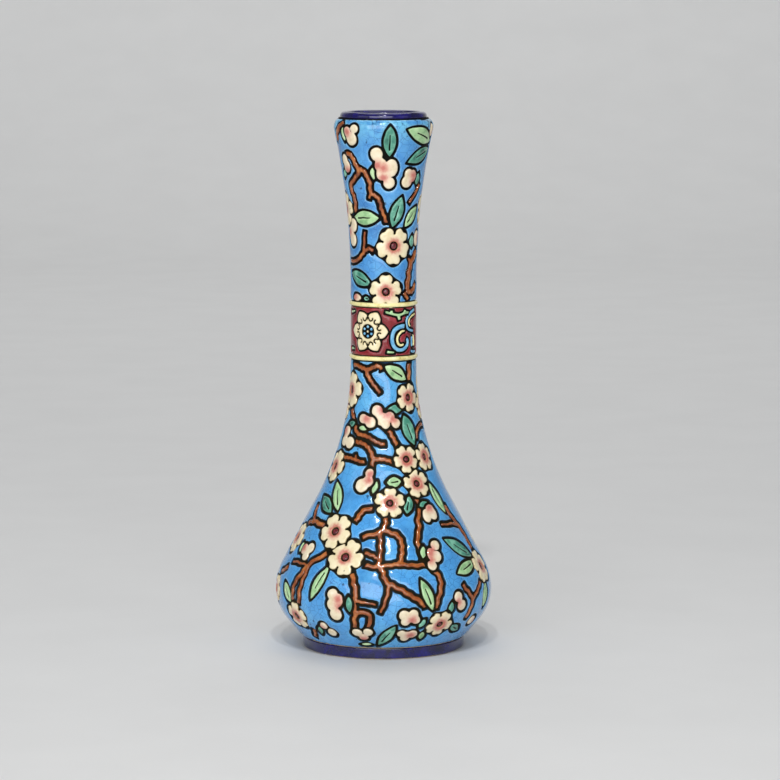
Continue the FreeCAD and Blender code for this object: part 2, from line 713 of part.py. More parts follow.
# Bud: round petals as (angle, height, radius, height over width); the last is its pink throat.
BUDS = [
    [(-37, 233, 2.2, 1), (-43, 228.5, 3.2, 1), (-48, 231.5, 2.2, 1.2)],
    [(-9, 221.8, 2.9, 1.1), (-4, 217.2, 2.9, 1.1), (11, 215.8, 2.9, 1.4), (8, 209.2, 2.7, 1),
     (-3, 213.2, 2.4, 1.3), (2, 213.5, 3.0, 1.2)],
    [(38, 213, 2.4, 1), (36, 209.5, 2.8, 1), (46, 212, 2.2, 1.3)],
    [(-64, 219, 2.2, 1.2), (-60, 216, 2.4, 1.2)],
    [(-60, 190, 2.6, 1.2), (-64, 183.5, 2.8, 1.1), (-71, 187, 2.4, 1.4)],
    [(80, 232, 2.8, 1.1)],
    [(75, 184, 2.6, 1.4)],
    [(-55, 157.9, 2.8, 0.6)],
    [(-33, 104.5, 2.2, 1), (-20, 103, 2.6, 1), (-26.5, 104, 2.0, 1)],
    [(-10, 108, 2.6, 1.1), (-2, 104.5, 3.0, 1), (3, 102.4, 2.2, 1), (19, 102.7, 2.2, 1),
     (9.5, 105.4, 2.4, 1)],
    [(-52, 93.5, 2.8, 1), (-65, 94, 2.5, 1), (-64, 98.2, 2.5, 1)],
    [(-15.5, 81.3, 2.0, 1.1), (-22, 76, 3.2, 1), (-16, 78, 2.5, 1.1)],
    [(36.8, 62.8, 2.2, 1.5), (43.2, 63.4, 2.4, 1.3), (42, 65.6, 2.2, 0.9)],
    [(36, 50.5, 2.4, 1), (34.5, 46, 2.8, 1), (30, 42.6, 2.4, 1), (31.5, 47, 2.2, 1.4)],
    [(-54, 48, 2.5, 1), (-56, 44.5, 2.4, 1), (-60, 47, 2.2, 1.2)],
    [(-28, 30.5, 2.6, 1), (-27.5, 26, 3.0, 1), (-26, 21.5, 3.0, 1), (-24.5, 28, 2.4, 1.3)],
    [(43.5, 28, 2.5, 1), (46, 24, 2.6, 1)],
    [(11, 21.8, 2.5, 1), (16, 22.0, 2.4, 1), (17.5, 19.4, 2.2, 1), (12, 18.8, 2.3, 1), (14.5, 20.2, 2.2, 1)],
    [(10.5, 12.6, 2.1, 1), (13, 10.4, 2.2, 1), (17, 12.2, 2.5, 1), (14, 11.9, 2.2, 1)],
    [(-15.5, 13, 2.4, 1), (-9, 13.4, 2.4, 1), (-12, 10.8, 2.2, 0.9)],
    [(-36, 15, 2.0, 1), (-32, 12, 2.4, 1)],
    [(60, 15, 2.6, 1)],
]

# Calyx: angle, height, length, width, lean from across.
CALYXES_LIGHT = [
    (-56, 230.5, 6.5, 3.6, 90), (-13, 213.7, 6.5, 4.4, 80), (-30, 100.6, 6.0, 2.8, 10),
    (-8.7, 75.4, 6.2, 2.6, 72), (26, 48.2, 6.0, 3.2, 75), (-64.5, 47.3, 5.0, 3.0, 90),
    (23.5, 11, 5.0, 3.0, 90), (-11, 6.9, 5.0, 1.8, 0),
]
CALYXES_DARK = [
    (58, 210.5, 5.5, 3.4, 80), (-70, 213.0, 5.0, 3.0, 60), (57, 183, 5.5, 3.4, 90),
    (19, 108.7, 8.5, 4.0, 10), (-56, 101.6, 5.5, 2.8, 20), (37, 67.7, 5.4, 3.0, 15),
    (-18.3, 26.5, 7.5, 3.0, 95), (38.5, 23.5, 5.5, 3.0, 80), (21.5, 17.4, 5.0, 3.0, 60),
    (-40.5, 12.2, 5.0, 2.8, 80),
]

# Leaf: base, tip, width.
LEAVES_LIGHT = [
    ((80, 227), (29, 232.6), 7.0), ((38, 189.5), (64, 198.5), 5.0), ((-57, 193.5), (-7, 193.5), 6.5),
    ((44, 121.5), (2, 128.0), 5.6), ((19, 77.8), (3, 77.5), 4.8), ((53, 76), (59.5, 62.5), 4.8),
    ((-40, 64.5), (-54, 76.5), 5.4), ((-34, 42.5), (-42, 27.5), 5.0), ((66, 41), (46, 38), 5.5),
    ((27, 23.5), (21, 37.5), 5.0), ((-59, 23.5), (-67, 32), 5.0), ((69, 20), (72, 31), 5.0),
]
LEAVES_DARK = [
    ((8, 220.5), (8, 234.5), 6.0), ((80, 224), (34, 218), 6.0), ((14, 189.5), (30, 203), 6.0),
    ((-22, 164), (-73, 169), 6.0), ((-26, 157.5), (-38, 158.0), 2.0), ((46, 92.5), (34, 106), 6.5),
    ((19, 64.2), (24.5, 71.5), 4.8), ((-47, 63.5), (-68, 69.5), 5.5), ((68, 43), (46, 52.5), 6.2),
    ((-3, 6.4), (7, 16.5), 5.0), ((51, 11.2), (42, 14.5), 4.0),
]

# How far the bark swells and narrows, as a part of a twig's width.
KNOTS = 0.13

# Twig: width at its start, width at its end, places.
BRANCHES = [
    (2.2, 1.7, [(-57, 221.5), (-50, 221.5), (-44, 219), (-38, 215.5), (-30, 214.5), (-24, 212), (-20, 208),
                (-19, 204.5), (-13, 203.5), (-7, 201.5), (-4, 198), (2, 194), (4, 191.5)]),
    (1.6, 1.2, [(-19, 205.5), (-22.5, 202.0)]),
    (2.2, 1.8, [(-37, 215.5), (-43, 211.5), (-52, 209.5), (-57, 206.5), (-52, 203), (-50, 200),
                (-52, 194.5)]),
    (2.2, 2.2, [(-57, 236.0), (-62, 234.5), (-70, 232), (-80, 227)]),
    (1.3, 1.3, [(66, 208), (44, 200)]),
    (1.8, 1.8, [(-80, 174), (-55, 174.5), (-45, 176), (-36, 178.5), (-17, 179.2)]),
    (1.3, 1.1, [(-37, 178.0), (-33, 187.5)]),
    (3.0, 2.4, [(80, 178), (67, 176), (57, 173), (53, 170), (50, 166), (46, 161.5)]),
    (2.2, 2.2, [(45, 161.3), (60, 160.5), (75, 164)]),
    (1.4, 1.2, [(58, 173.0), (49, 175.4)]),
    (1.8, 1.6, [(39, 160.2), (50, 157.2)]),
    (2.0, 2.0, [(-66, 127.3), (-45, 127), (-30, 126.2), (-22, 126.8), (-12, 128), (-3, 126.3)]),
    (2.2, 1.5, [(-33, 126.4), (-24, 121.5), (-14, 118.5), (-6, 115.8)]),
    (2.4, 2.0, [(52, 128.6), (51, 121)]),
    (2.0, 2.0, [(8, 99.8), (13, 96.5), (18, 93)]),
    (2.0, 1.8, [(-62, 108), (-55, 105), (-48, 101.5), (-42, 98.5), (-36, 97.5), (-25, 97), (-15, 95.5),
                (-5, 94), (2, 93.7)]),
    (1.9, 2.2, [(-45, 94), (-30, 93.8), (-20, 92), (-15, 89.5), (-13, 87.0), (-14, 84.3)]),
    (2.2, 1.8, [(-14, 87.3), (0, 87.2), (8, 86.5), (13, 85.5)]),
    (1.6, 1.6, [(52, 95), (58, 99), (68, 100.5), (80, 100.5)]),
    (1.8, 1.6, [(-57, 87), (-47, 87), (-37, 86.6), (-30, 86), (-23, 86.2)]),
    (1.2, 1.0, [(-35.5, 86.5), (-37, 88.8)]),
    (2.2, 2.2, [(-9, 66.5), (-16, 66), (-20, 63.5), (-22, 61.0)]),
    (2.2, 2.0, [(2, 63), (1, 59.5), (-2, 57.3), (-8, 56), (-15, 54.8)]),
    (2.2, 2.2, [(0.5, 59.4), (4, 57), (9, 56), (12, 53.5), (12, 49), (10.5, 45.5), (9, 43.6)]),
    (2.0, 2.0, [(-2, 57.6), (-2, 52), (-2, 48), (-3.5, 43.4)]),
    (1.8, 1.6, [(-12, 48.5), (-7, 47.5), (-2, 45.2)]),
    (2.0, 2.0, [(-11, 43.5), (-5, 43), (3, 43.5), (9, 43.8), (17, 43.3), (25, 43.2)]),
    (2.4, 2.2, [(-3.5, 43.4), (0, 40), (2, 36.5), (8, 34), (14, 31), (20, 27.5), (22, 25)]),
    (1.9, 1.4, [(3, 35.4), (1, 29), (-1.5, 23)]),
    (1.9, 2.2, [(30, 71), (31, 65), (28, 61.5), (27, 58), (24, 54), (24, 50), (24, 45)]),
    (2.0, 2.0, [(63, 66), (66, 60), (71, 55), (73, 50), (73, 45.5)]),
    (1.6, 1.2, [(69.5, 56.8), (58, 58), (48, 58.3)]),
    (2.4, 2.0, [(-48, 57.5), (-58, 58.5), (-65, 58.5), (-72, 57)]),
    (1.6, 1.4, [(-64, 58.5), (-69, 62), (-71, 65.5)]),
    (2.4, 2.0, [(-18, 40), (-16, 35), (-15, 31), (-16, 27.5), (-15, 24), (-15.5, 20), (-15.5, 15)]),
    (1.7, 1.2, [(-15.6, 28.3), (-9, 27.5), (-4, 27)]),
    (2.0, 1.8, [(-15.2, 22.5), (-9, 23), (-7, 20.5), (-8, 15)]),
    (2.2, 2.0, [(30, 41), (33, 36.5), (32, 32), (30, 28), (29, 24)]),
    (2.2, 2.0, [(-38, 47), (-46, 43.5), (-50, 41), (-53, 37), (-56, 33), (-57, 28.5), (-57, 24)]),
    (2.0, 2.0, [(-49.5, 41.3), (-50, 35), (-51, 30), (-51, 24)]),
    (1.5, 1.2, [(-50.5, 41.0), (-60, 41.2), (-67, 41)]),
    (2.2, 2.0, [(-70, 38), (-78, 35)]),
    (1.8, 1.6, [(48, 33), (52, 29), (55, 25.5), (54, 21), (52, 17)]),
    (1.8, 1.4, [(54.6, 25.3), (60, 28.5), (65, 32.5)]),
    (1.8, 1.6, [(-46, 12), (-50, 8)]),
]

# Neck band: one rosette, then blue and cream scrolls and green sprigs.
ROSETTE = (-29.5, 143.2, 9.8)
BAND_BLUE = [
    (2.1, 1.5, [(41, 145.4), (28, 145.0), (19, 143.4), (15.5, 140), (19, 136.6), (28, 134.9), (38, 135.0),
                (46, 136.4), (49.5, 138.2), (45.5, 139.6)]),
    (1.3, 1.2, [(72, 152.3), (60, 151.3), (50, 149.6), (45.5, 147.0), (49, 144.4), (58, 143.2), (66, 142.8)]),
    (1.3, 1.1, [(59, 134.0), (66, 133.5), (78, 133.6)]),
    (1.2, 1.2, [(62, 140.6), (61, 138.0), (62, 135.9)]),
]
BAND_CREAM = [
    (1.2, 1.1, [(42, 143.3), (31, 142.4), (25.5, 140), (28.5, 137.4), (35, 136.9), (40, 137.2)]),
    (1.0, 1.0, [(76, 150.6), (62, 149.6), (53, 148.2), (52, 146.4), (57, 145.0)]),
    (1.0, 1.0, [(66, 141.2), (69, 138.8), (68.5, 136.0)]),
]
BAND_SPRIGS = [
    [(1.1, 1.3, [(3, 152.0), (14, 151.2), (24, 150.6), (34, 150.7), (42, 151.2), (51, 151.2)]),
     (1.3, 1.3, [(14, 151.2), (15, 152.7)]), (1.4, 1.5, [(27, 150.6), (30, 148.3)]),
     (1.4, 1.2, [(40, 151.1), (43, 152.6)])],
    [(1.3, 0.8, [(6, 134.3), (12, 134.0), (20, 133.9)])],
    [(1.4, 0.8, [(-79, 151.2), (-70, 151.4), (-62, 152.0)])],
    [(1.3, 0.9, [(-79, 134.6), (-70, 135), (-65, 134.8)])],
]
BAND_LINE = 0.7


# Curled line in each half of a petal: distance from the middle, degrees from the petal's middle.
CURL = [(6.3, 27), (5.6, 23), (4.95, 17), (5.1, 9), (5.8, 5.5), (6.5, 8)]


def band_rosette():
    """Flower of the neck band: six pointed petals with curled lines, its wider outline, its dots."""
    angle, height, radius = ROSETTE
    root = 4.9
    outline = []
    wide = []
    for i in range(96):
        turn = math.radians(3.75 * i)
        f = 2 * abs((i + 8) % 16 - 8) / 16
        reach = root + (radius - root) * (1 - 0.5 * f ** 1.1) * (1 - f ** 8) ** 0.5
        outline.append(on_sheet(angle, height, reach * math.cos(turn), reach * math.sin(turn)))
        if i % 2 == 0:
            reach = radius - (radius - root) * 0.5 * f ** 1.1 + BAND_LINE
            wide.append(on_sheet(angle, height, reach * math.cos(turn), reach * math.sin(turn)))
    curls = []
    for i in range(6):
        for side in (-1, 1):
            turns = [math.radians(60 * i + side * lean) for reach, lean in CURL]
            spots = [on_sheet(angle, height, reach * math.cos(turn), reach * math.sin(turn))
                     for (reach, lean), turn in zip(CURL, turns)]
            places = [(math.degrees(spot.x / SHEET_SCALE), height_at(spot.y)) for spot in spots]
            curls.append(branch(0.45, 0.45, places))
    flower = closed_face(outline).cut([disc(angle, height, 3.2)] + curls)
    middle = disc(angle, height, 0.6)
    dots = []
    for i in range(6):
        turn = math.radians(30 + 60 * i)
        spot = on_sheet(angle, height, 2.1 * math.cos(turn), 2.1 * math.sin(turn))
        dots.append(disc(math.degrees(spot.x / SHEET_SCALE), height_at(spot.y), 0.75))
    return flower.Faces + [middle], closed_face(wide), dots


# ---------------------------------------------------------------- cells on the sheet


# Pieces of cell smaller than this many square millimetres on the sheet are left to the outline.
SMALLEST = 1.0

# Cells already laid, as the wider outlines that later cells keep clear of.
kept = []


def near(first, second):
    a = first.BoundBox
    b = second.BoundBox
    return a.XMin < b.XMax and b.XMin < a.XMax and a.YMin < b.YMax and b.YMin < a.YMax


def printings(flat):
    """A flat outline on both printings, as they are met across the seams of the sheet."""
    return [flat.translated(Vector(shift, 0, 0)) for shift in (-HALF_TURN, 0.0, HALF_TURN)]


def clear_of(flat, others):
    """The pieces of a flat outline that lie outside the others."""
    cutters = [moved for other in others for moved in printings(other) if near(moved, flat)]
    if cutters:
        flat = flat.cut(cutters)
    return [face for face in flat.Faces if face.Area > SMALLEST]


def lay(cells, flat, wide):
    """Cut a flat motif clear of those already laid and keep its pieces."""
    pieces = clear_of(flat, kept)
    cells += pieces
    if pieces:
        kept.append(wide)


def wrap_edge(edge, surface, flip):
    """An edge of the sheet carried on to a surface of revolution."""
    curve = edge.Curve.toBSpline(edge.FirstParameter, edge.LastParameter)
    if curve.isPeriodic():
        curve.setNotPeriodic()
    if flip:
        curve.reverse()
    poles = [Vector2(pole.x / SHEET_SCALE + 1.5 * math.pi, pole.y) for pole in curve.getPoles()]
    flat = Part.Geom2d.BSplineCurve2d()
    flat.buildFromPolesMultsKnots(poles, curve.getMultiplicities(), curve.getKnots(), False, curve.Degree)
    return flat.toShape(surface)


def wrap_wire(wire, surface):
    edges = wire.OrderedEdges
    return [wrap_edge(edge, surface, edge.Orientation == "Reversed") for edge in edges]


def wrap_cell(flat, outer, inner):
    """Solid cell between two surfaces, over a flat piece of the sheet."""
    wires = [flat.OuterWire] + [wire for wire in flat.Wires if not wire.isSame(flat.OuterWire)]
    walls = []
    faces = []
    rims = []
    for surface in (outer, inner):
        loops = [wrap_wire(wire, surface) for wire in wires]
        closed = [Part.Wire(loop) for loop in loops]
        face = Part.Face(surface, closed[0])
        if len(closed) > 1:
            face.cutHoles(closed[1:])
        face.validate()
        faces.append(face)
        rims.append(loops)
    for upper, lower in zip(*rims):
        for first, second in zip(upper, lower):
            walls += Part.makeRuledSurface(first, second).Faces
    shell = Part.makeShell(faces + walls)
    shell.sewShape()
    solid = Part.makeSolid(shell)
    if solid.Volume < 0:
        solid.reverse()
    return solid


# ---------------------------------------------------------------- lay the motifs, front ones first

petals = []
centres = []
bud_cells = []
for place in BLOSSOMS:
    lay(petals, blossom(*place), blossom_reach(*place))
    centres.append(disc(place[0], place[1], heart_radius(place[2]) - 0.5))
for bud in BUDS:
    lay(bud_cells, merge([disc(*patch) for patch in bud]), merge([disc(*patch, grow=CLEAR) for patch in bud]))

calyxes = {}
for name, places in (("calyxes_light", CALYXES_LIGHT), ("calyxes_dark", CALYXES_DARK)):
    calyxes[name] = []
    for place in places:
        lay(calyxes[name], pointed(*place), pointed(*place, grow=CLEAR))
leaves = {}
for name, places in (("leaves_light", LEAVES_LIGHT), ("leaves_dark", LEAVES_DARK)):
    leaves[name] = []
    for place in places:
        lay(leaves[name], leaf(*place), leaf(*place, grow=CLEAR))

twigs = []
for twig in merge([branch(*place, knots=KNOTS) for place in BRANCHES]).Faces:
    twigs += clear_of(twig, kept)
kept += [branch(*place, grow=CLEAR, knots=KNOTS) for place in BRANCHES]

# The neck band has its own outlines: nothing in it meets the twigs above and below.
band_kept = []
rosette, rosette_wide, rosette_dots = band_rosette()
band_kept.append(rosette_wide)
blue = []
cream = []
sprigs = []
for strokes in BAND_SPRIGS:
    sprigs += clear_of(merge([branch(*stroke) for stroke in strokes]), band_kept)
    band_kept += [branch(*stroke, grow=BAND_LINE) for stroke in strokes]
for scroll in BAND_BLUE:
    blue += clear_of(branch(*scroll), band_kept)
    band_kept.append(branch(*scroll, grow=BAND_LINE))
for scroll in BAND_CREAM:
    cream += clear_of(branch(*scroll), band_kept)
    band_kept.append(branch(*scroll, grow=BAND_LINE))


def ground(low, high, others):
    """Background between the outlines: half the sheet, from one run to another."""
    corner = Vector(-HALF_TURN / 2, low, 0)
    return clear_of(Part.makePlane(HALF_TURN, high - low, corner), others)


bead_low = run_at(size("lower_bead_height"))
bead_high = run_at(size("upper_bead_height"))
half_bead = size("bead_width") / 2
edge = 0.3
FLAT_NODES = {
    "blossom_petals": petals,
    "blossom_centres": centres,
    "bud_petals": bud_cells,
    "calyxes_light": calyxes["calyxes_light"],
    "calyxes_dark": calyxes["calyxes_dark"],
    "leaves_light": leaves["leaves_light"],
    "leaves_dark": leaves["leaves_dark"],
    "branches": twigs,
    "band_rosettes": rosette,
    "band_rosette_dots": rosette_dots,
    "band_scrolls_blue": blue,
    "band_scrolls_cream": cream,
    "band_sprigs": sprigs,
    "body_ground": ground(0.0, bead_low - half_bead - edge, kept),
    "band_ground": ground(bead_low + half_bead + edge, bead_high - half_bead - edge, band_kept),
    "neck_ground": ground(bead_high + half_bead + edge, RUN[-1], kept),
}

outer_surface = wall_surface(0.0)
inner_surface = wall_surface(enamel)
for name, flats in FLAT_NODES.items():
    cells = [wrap_cell(flat, outer_surface, inner_surface) for flat in flats]
    second = [cell.copy() for cell in cells]
    for cell in second:
        cell.rotate(Vector(0, 0, 0), Vector(0, 0, 1), 180)
    node = doc.addObject("Part::Feature", name)
    node.Label = name
    node.Shape = Part.makeCompound(cells + second)
    node.Placement = FreeCAD.Placement()
doc.recompute()

# ---------------------------------------------------------------- check and write

os.makedirs("parts", exist_ok=True)
nodes = [item for item in doc.Objects if item.TypeId in ("PartDesign::Body", "Part::Feature")]
for item in doc.Objects:
    if "Invalid" in item.State or "Error" in item.State:
        raise RuntimeError(f"{item.Label} failed: {item.State}")
for item in nodes:
    if item.Shape.isNull():
        raise RuntimeError(f"{item.Label} is empty")
    faulty = [solid for solid in item.Shape.Solids if not solid.isValid()]
    if faulty:
        raise RuntimeError(f"{item.Label} has {len(faulty)} solids that aren't valid")
    print(item.Label, "solids", len(item.Shape.Solids), "volume", round(item.Shape.Volume))
for item in nodes:
    item.Shape.exportStep(f"parts/{item.Label}.step")
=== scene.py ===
import math
from collections import Counter
import bpy
import numpy as np
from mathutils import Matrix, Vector
from mathutils.geometry import delaunay_2d_cdt
from mathutils.kdtree import KDTree


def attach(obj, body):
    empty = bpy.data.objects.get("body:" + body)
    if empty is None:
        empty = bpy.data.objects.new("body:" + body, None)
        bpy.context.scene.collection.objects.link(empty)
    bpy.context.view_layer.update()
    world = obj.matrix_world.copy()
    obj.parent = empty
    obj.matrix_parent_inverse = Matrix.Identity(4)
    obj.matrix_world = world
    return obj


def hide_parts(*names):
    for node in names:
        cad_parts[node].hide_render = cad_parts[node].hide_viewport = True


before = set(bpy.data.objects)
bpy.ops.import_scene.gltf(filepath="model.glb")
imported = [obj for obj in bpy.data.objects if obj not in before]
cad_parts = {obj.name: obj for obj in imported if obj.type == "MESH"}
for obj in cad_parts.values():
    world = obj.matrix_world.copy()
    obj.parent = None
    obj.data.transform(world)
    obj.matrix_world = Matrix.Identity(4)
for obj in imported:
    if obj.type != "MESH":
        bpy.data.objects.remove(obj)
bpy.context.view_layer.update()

# Lengths are millimetres until a mesh is made, and metres in the floor, the lights and the camera.

# ------------ the outside line of the vase

UNDER = math.radians(40)       # slope of the cone under the belly, from upright
SHOULDER = math.radians(28)    # slope of the shoulder's straight part, from upright
BELLY_R, BELLY_Z = 48.6, 26.0  # widest place
NECK_R, FLARE_Z = 14.8, 165.0  # straight part of the neck, and the height where it starts to flare
# Radii of the wall's rounds, from the bottom up; the cheek is the tight one under the lip.
UNDER_ARC, BELLY_ARC, HOLLOW_ARC, FLARE_ARC, CHEEK_ARC = 20.0, 26.0, 130.0, 315.0, 5.5
CHEEK_Z, CHEEK_TOP = 233.3, 237.2
ENAMEL_BOTTOM = 5.2
LIP_R, LIP_Z, LIP_ROLL = 17.3, 238.0, 2.0
ENAMEL, FILM = 0.7, 0.15       # thicknesses of the enamel and of the dark print under it
BEADS = {"lower": 131.1, "upper": 155.0}


def outside_line(step=0.1):
    """Arrays along the wall: radius, height, outward normal (out, up), distance run."""
    reach = FLARE_ARC + CHEEK_ARC
    flare = math.asin((CHEEK_Z - FLARE_Z) / reach)
    under = (BELLY_R - UNDER_ARC, BELLY_Z)
    belly = (BELLY_R - BELLY_ARC, BELLY_Z)
    crest = (belly[0] + BELLY_ARC * math.cos(SHOULDER), belly[1] + BELLY_ARC * math.sin(SHOULDER))
    dip_r = NECK_R + HOLLOW_ARC * (1 - math.cos(SHOULDER))
    dip = (dip_r, crest[1] + (crest[0] - dip_r) / math.tan(SHOULDER))
    hollow = (NECK_R + HOLLOW_ARC, dip[1] + HOLLOW_ARC * math.sin(SHOULDER))
    opening = (NECK_R + FLARE_ARC, FLARE_Z)
    cheek = (opening[0] - reach * math.cos(flare), CHEEK_Z)
    low = (under[0] + UNDER_ARC * math.cos(UNDER), under[1] - UNDER_ARC * math.sin(UNDER))
    foot = (low[0] - (low[1] - ENAMEL_BOTTOM) * math.tan(UNDER), ENAMEL_BOTTOM)
    rows = []

    def straight(a, b):
        length = math.dist(a, b)
        normal = ((b[1] - a[1]) / length, (a[0] - b[0]) / length)
        for f in np.arange(0, 1, step / length):
            rows.append((a[0] + (b[0] - a[0]) * f, a[1] + (b[1] - a[1]) * f, *normal))

    def bend(c, r, first, last, side):
        for f in np.arange(0, 1, step / (r * abs(last - first))):
            a = first + (last - first) * f
            out, up = math.cos(a), math.sin(a)
            rows.append((c[0] + r * out, c[1] + r * up, side * out, side * up))

    straight(foot, low)
    bend(under, UNDER_ARC, -UNDER, 0, 1)
    bend(belly, BELLY_ARC, 0, SHOULDER, 1)
    straight(crest, dip)
    bend(hollow, HOLLOW_ARC, math.pi + SHOULDER, math.pi, -1)
    straight((NECK_R, hollow[1]), (NECK_R, FLARE_Z))
    bend(opening, FLARE_ARC, math.pi, math.pi - flare, -1)
    bend(cheek, CHEEK_ARC, -flare, math.asin((CHEEK_TOP - CHEEK_Z) / CHEEK_ARC), 1)
    line = np.array(rows)
    run = np.concatenate([[0], np.cumsum(np.hypot(np.diff(line[:, 0]), np.diff(line[:, 1])))])
    return line, run


LINE, RUN = outside_line()


def along(column, run):
    return np.interp(run, RUN, LINE[:, column])


def radius_at(run):
    return along(0, run)


def run_at(height):
    return np.interp(height, LINE[:, 1], RUN)


def on_wall(angle, run, depth):
    """Points on the wall: angle in radians from the front, distance run, depth below the enamel's top."""
    r = along(0, run) - depth * along(2, run)
    z = along(1, run) - depth * along(3, run)
    return np.stack([r * np.sin(angle), -r * np.cos(angle), z], 1)


# ------------ noise for shapes

LAYERS, LAYER_WAVES = 3, 8
rng = np.random.default_rng(7)
WAVES = rng.normal(size=(LAYERS * LAYER_WAVES, 3))
WAVE_SHIFT = rng.uniform(0, 2 * math.pi, LAYERS * LAYER_WAVES)


def wobble(points, scale, layer=0):
    """Smooth noise, mostly between -1 and 1, with bumps about scale millimetres apart."""
    chosen = slice(layer * LAYER_WAVES, (layer + 1) * LAYER_WAVES)
    waves = WAVES[chosen] * (2.2 / scale)    # 2.2 and 3.2 suit the sum of eight waves
    return np.sin(points @ waves.T + WAVE_SHIFT[chosen]).sum(1) / 3.2


# ------------ meshes

# Millimetres, unless the comment says otherwise.
OUTER_DEPTH = 0.3      # points deeper than this below the outside line belong to a cell's sides and back
FEWEST_POINTS = 4      # loops with fewer points than this are dropped,
SMALLEST_AREA = 0.3    # and so are those that enclose fewer square millimetres
SEAMS = np.radians([90, -90, 270, -270])
SEAM_WIDTH = 2e-3      # radians within which a point counts as on a seam
SEAM_STEP = 1.6        # steps along a seam, as a share of the steps along an outline
WAVER_SCALE = 2.4      # distance between the bumps of an outline's hand-drawn waver
WAVER_FADE = 1.5       # distance from a seam over which the waver sets in
INSIDE_BATCH = 800     # points tested at a time, to spare memory
EDGE_PARTS = (0.0, 0.34, 0.67)   # places along an outline's side from which distances are taken
EDGE_LINES = (0.16, 0.42)        # distances from the edge of the two lines of points along it
EDGE_SHARE = 0.9                 # share of that distance that they keep from every edge
FIELD_FROM = 0.62                # distance from the edge where the field of points begins
CLEAR_OF_SEAM = 0.3              # distance that inner points keep from a seam
CLOSEST = 0.13                   # points nearer than this to one another are thinned out
ROW_PITCH = 0.87                 # height of a row of near-equilateral triangles of side 1
ON_EDGE = 0.03                   # points nearer the edge than this count as on it
SWELL_WIDTH = 4.0                # distance from the edge where a cell's broad swell is full
UNEVEN, UNEVEN_SCALE = 0.03, 5.0     # height and spacing of the unevenness of the enamel's top
EDGE_SUNK, BASE_SUNK = 0.03, 0.12    # how far an edge and a cell's back lie below the print's surface
WELD_REACH, WELD_GRID = 0.02, 20     # for joining a ground's halves: reach, and grid steps per millimetre


def make_piece(name, verts, faces, slot_name, nodes, attributes=None):
    """A mesh piece that rides on the vase and stands for CAD nodes; verts in millimetres."""
    mesh = bpy.data.meshes.new(name)
    mesh.from_pydata((np.asarray(verts) * 0.001).tolist(), [], [list(map(int, f)) for f in faces])
    for key, values in (attributes or {}).items():
        mark_points(mesh, key, values)
    mesh.polygons.foreach_set("use_smooth", [True] * len(mesh.polygons))
    mesh.validate()
    mesh.update()
    piece = bpy.data.objects.new(name, mesh)
    bpy.context.scene.collection.objects.link(piece)
    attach(piece, "root")
    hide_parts(*nodes)
    mesh.materials.append(MATERIALS[slot_name])
    return piece


def mark_points(mesh, key, values):
    """Give each point of a mesh a value that the materials can read."""
    layer = mesh.attributes.new(key, "FLOAT", "POINT")
    layer.data.foreach_set("value", np.asarray(values, np.float32))


def points_of(mesh):
    co = np.zeros(len(mesh.vertices) * 3)
    mesh.vertices.foreach_get("co", co)
    return co.reshape(-1, 3)


def lathe(profile, segments, ripple=None):
    """Closed ring turned from a closed section of (radius, height); ripple moves its points."""
    profile = np.asarray(profile, float)
    count = len(profile)
    angles = np.arange(segments) * 2 * math.pi / segments
    r = np.tile(profile[:, 0], segments)
    z = np.tile(profile[:, 1], segments)
    a = np.repeat(angles, count)
    verts = np.stack([r * np.sin(a), -r * np.cos(a), z], 1)
    if ripple is not None:
        verts = ripple(verts)
    faces = []
    for i in range(segments):
        j = (i + 1) % segments
        for k in range(count):
            m = (k + 1) % count
            faces.append((i * count + k, j * count + k, j * count + m, i * count + m))
    return verts, faces


def outer_triangles(node, halved):
    """Welded points and triangles of a node's outer faces.

    A halved node meets itself along the seams at the sides; its front and back stay apart."""
    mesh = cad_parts[node].data
    mesh.calc_loop_triangles()
    tris = np.zeros(len(mesh.loop_triangles) * 3, np.int64)
    mesh.loop_triangles.foreach_get("vertices", tris)
    keys, index = np.unique(np.round(points_of(mesh) * 1000, 3), axis=0, return_inverse=True)
    tris = index.reshape(-1)[tris].reshape(-1, 3)
    out = np.hypot(keys[:, 0], keys[:, 1]) > np.interp(keys[:, 2], LINE[:, 1], LINE[:, 0]) - OUTER_DEPTH
    tris = tris[out[tris].all(1)]
    tris = tris[(tris[:, 0] != tris[:, 1]) & (tris[:, 1] != tris[:, 2]) & (tris[:, 2] != tris[:, 0])]
    if halved:
        behind = keys[tris][:, :, 1].mean(1) > 0
        tris = tris + len(keys) * behind[:, None]
        keys = np.vstack([keys, keys])
    return keys, tris


def joined(count, tris):
    """A function that gives points of the same connected patch of triangles the same number."""
    parent = np.arange(count)

    def find(i):
        while parent[i] != i:
            parent[i] = parent[parent[i]]
            i = parent[i]
        return i

    for a, b, c in tris:
        ra, rb, rc = find(a), find(b), find(c)
        parent[rb] = ra
        parent[find(rc)] = ra
    return find


def sides_of(tri):
    return (tri[0], tri[1]), (tri[1], tri[2]), (tri[2], tri[0])


def border_loops(tris):
    """Loops of point numbers round the edges that only one triangle has."""
    edges = {}
    for t in tris:
        for a, b in sides_of(t):
            key = (min(a, b), max(a, b))
            edges[key] = None if key in edges else (a, b)
    following = {}
    for pair in edges.values():
        if pair is not None:
            following.setdefault(pair[0], []).append(pair[1])
    loops = []
    while following:
        start = next(iter(following))
        loop = [start]
        here = start
        while here in following:
            ahead = following[here].pop()
            if not following[here]:
                del following[here]
            here = ahead
            if here == start:
                break
            loop.append(here)
        if len(loop) >= FEWEST_POINTS:
            loops.append(loop)
    return loops


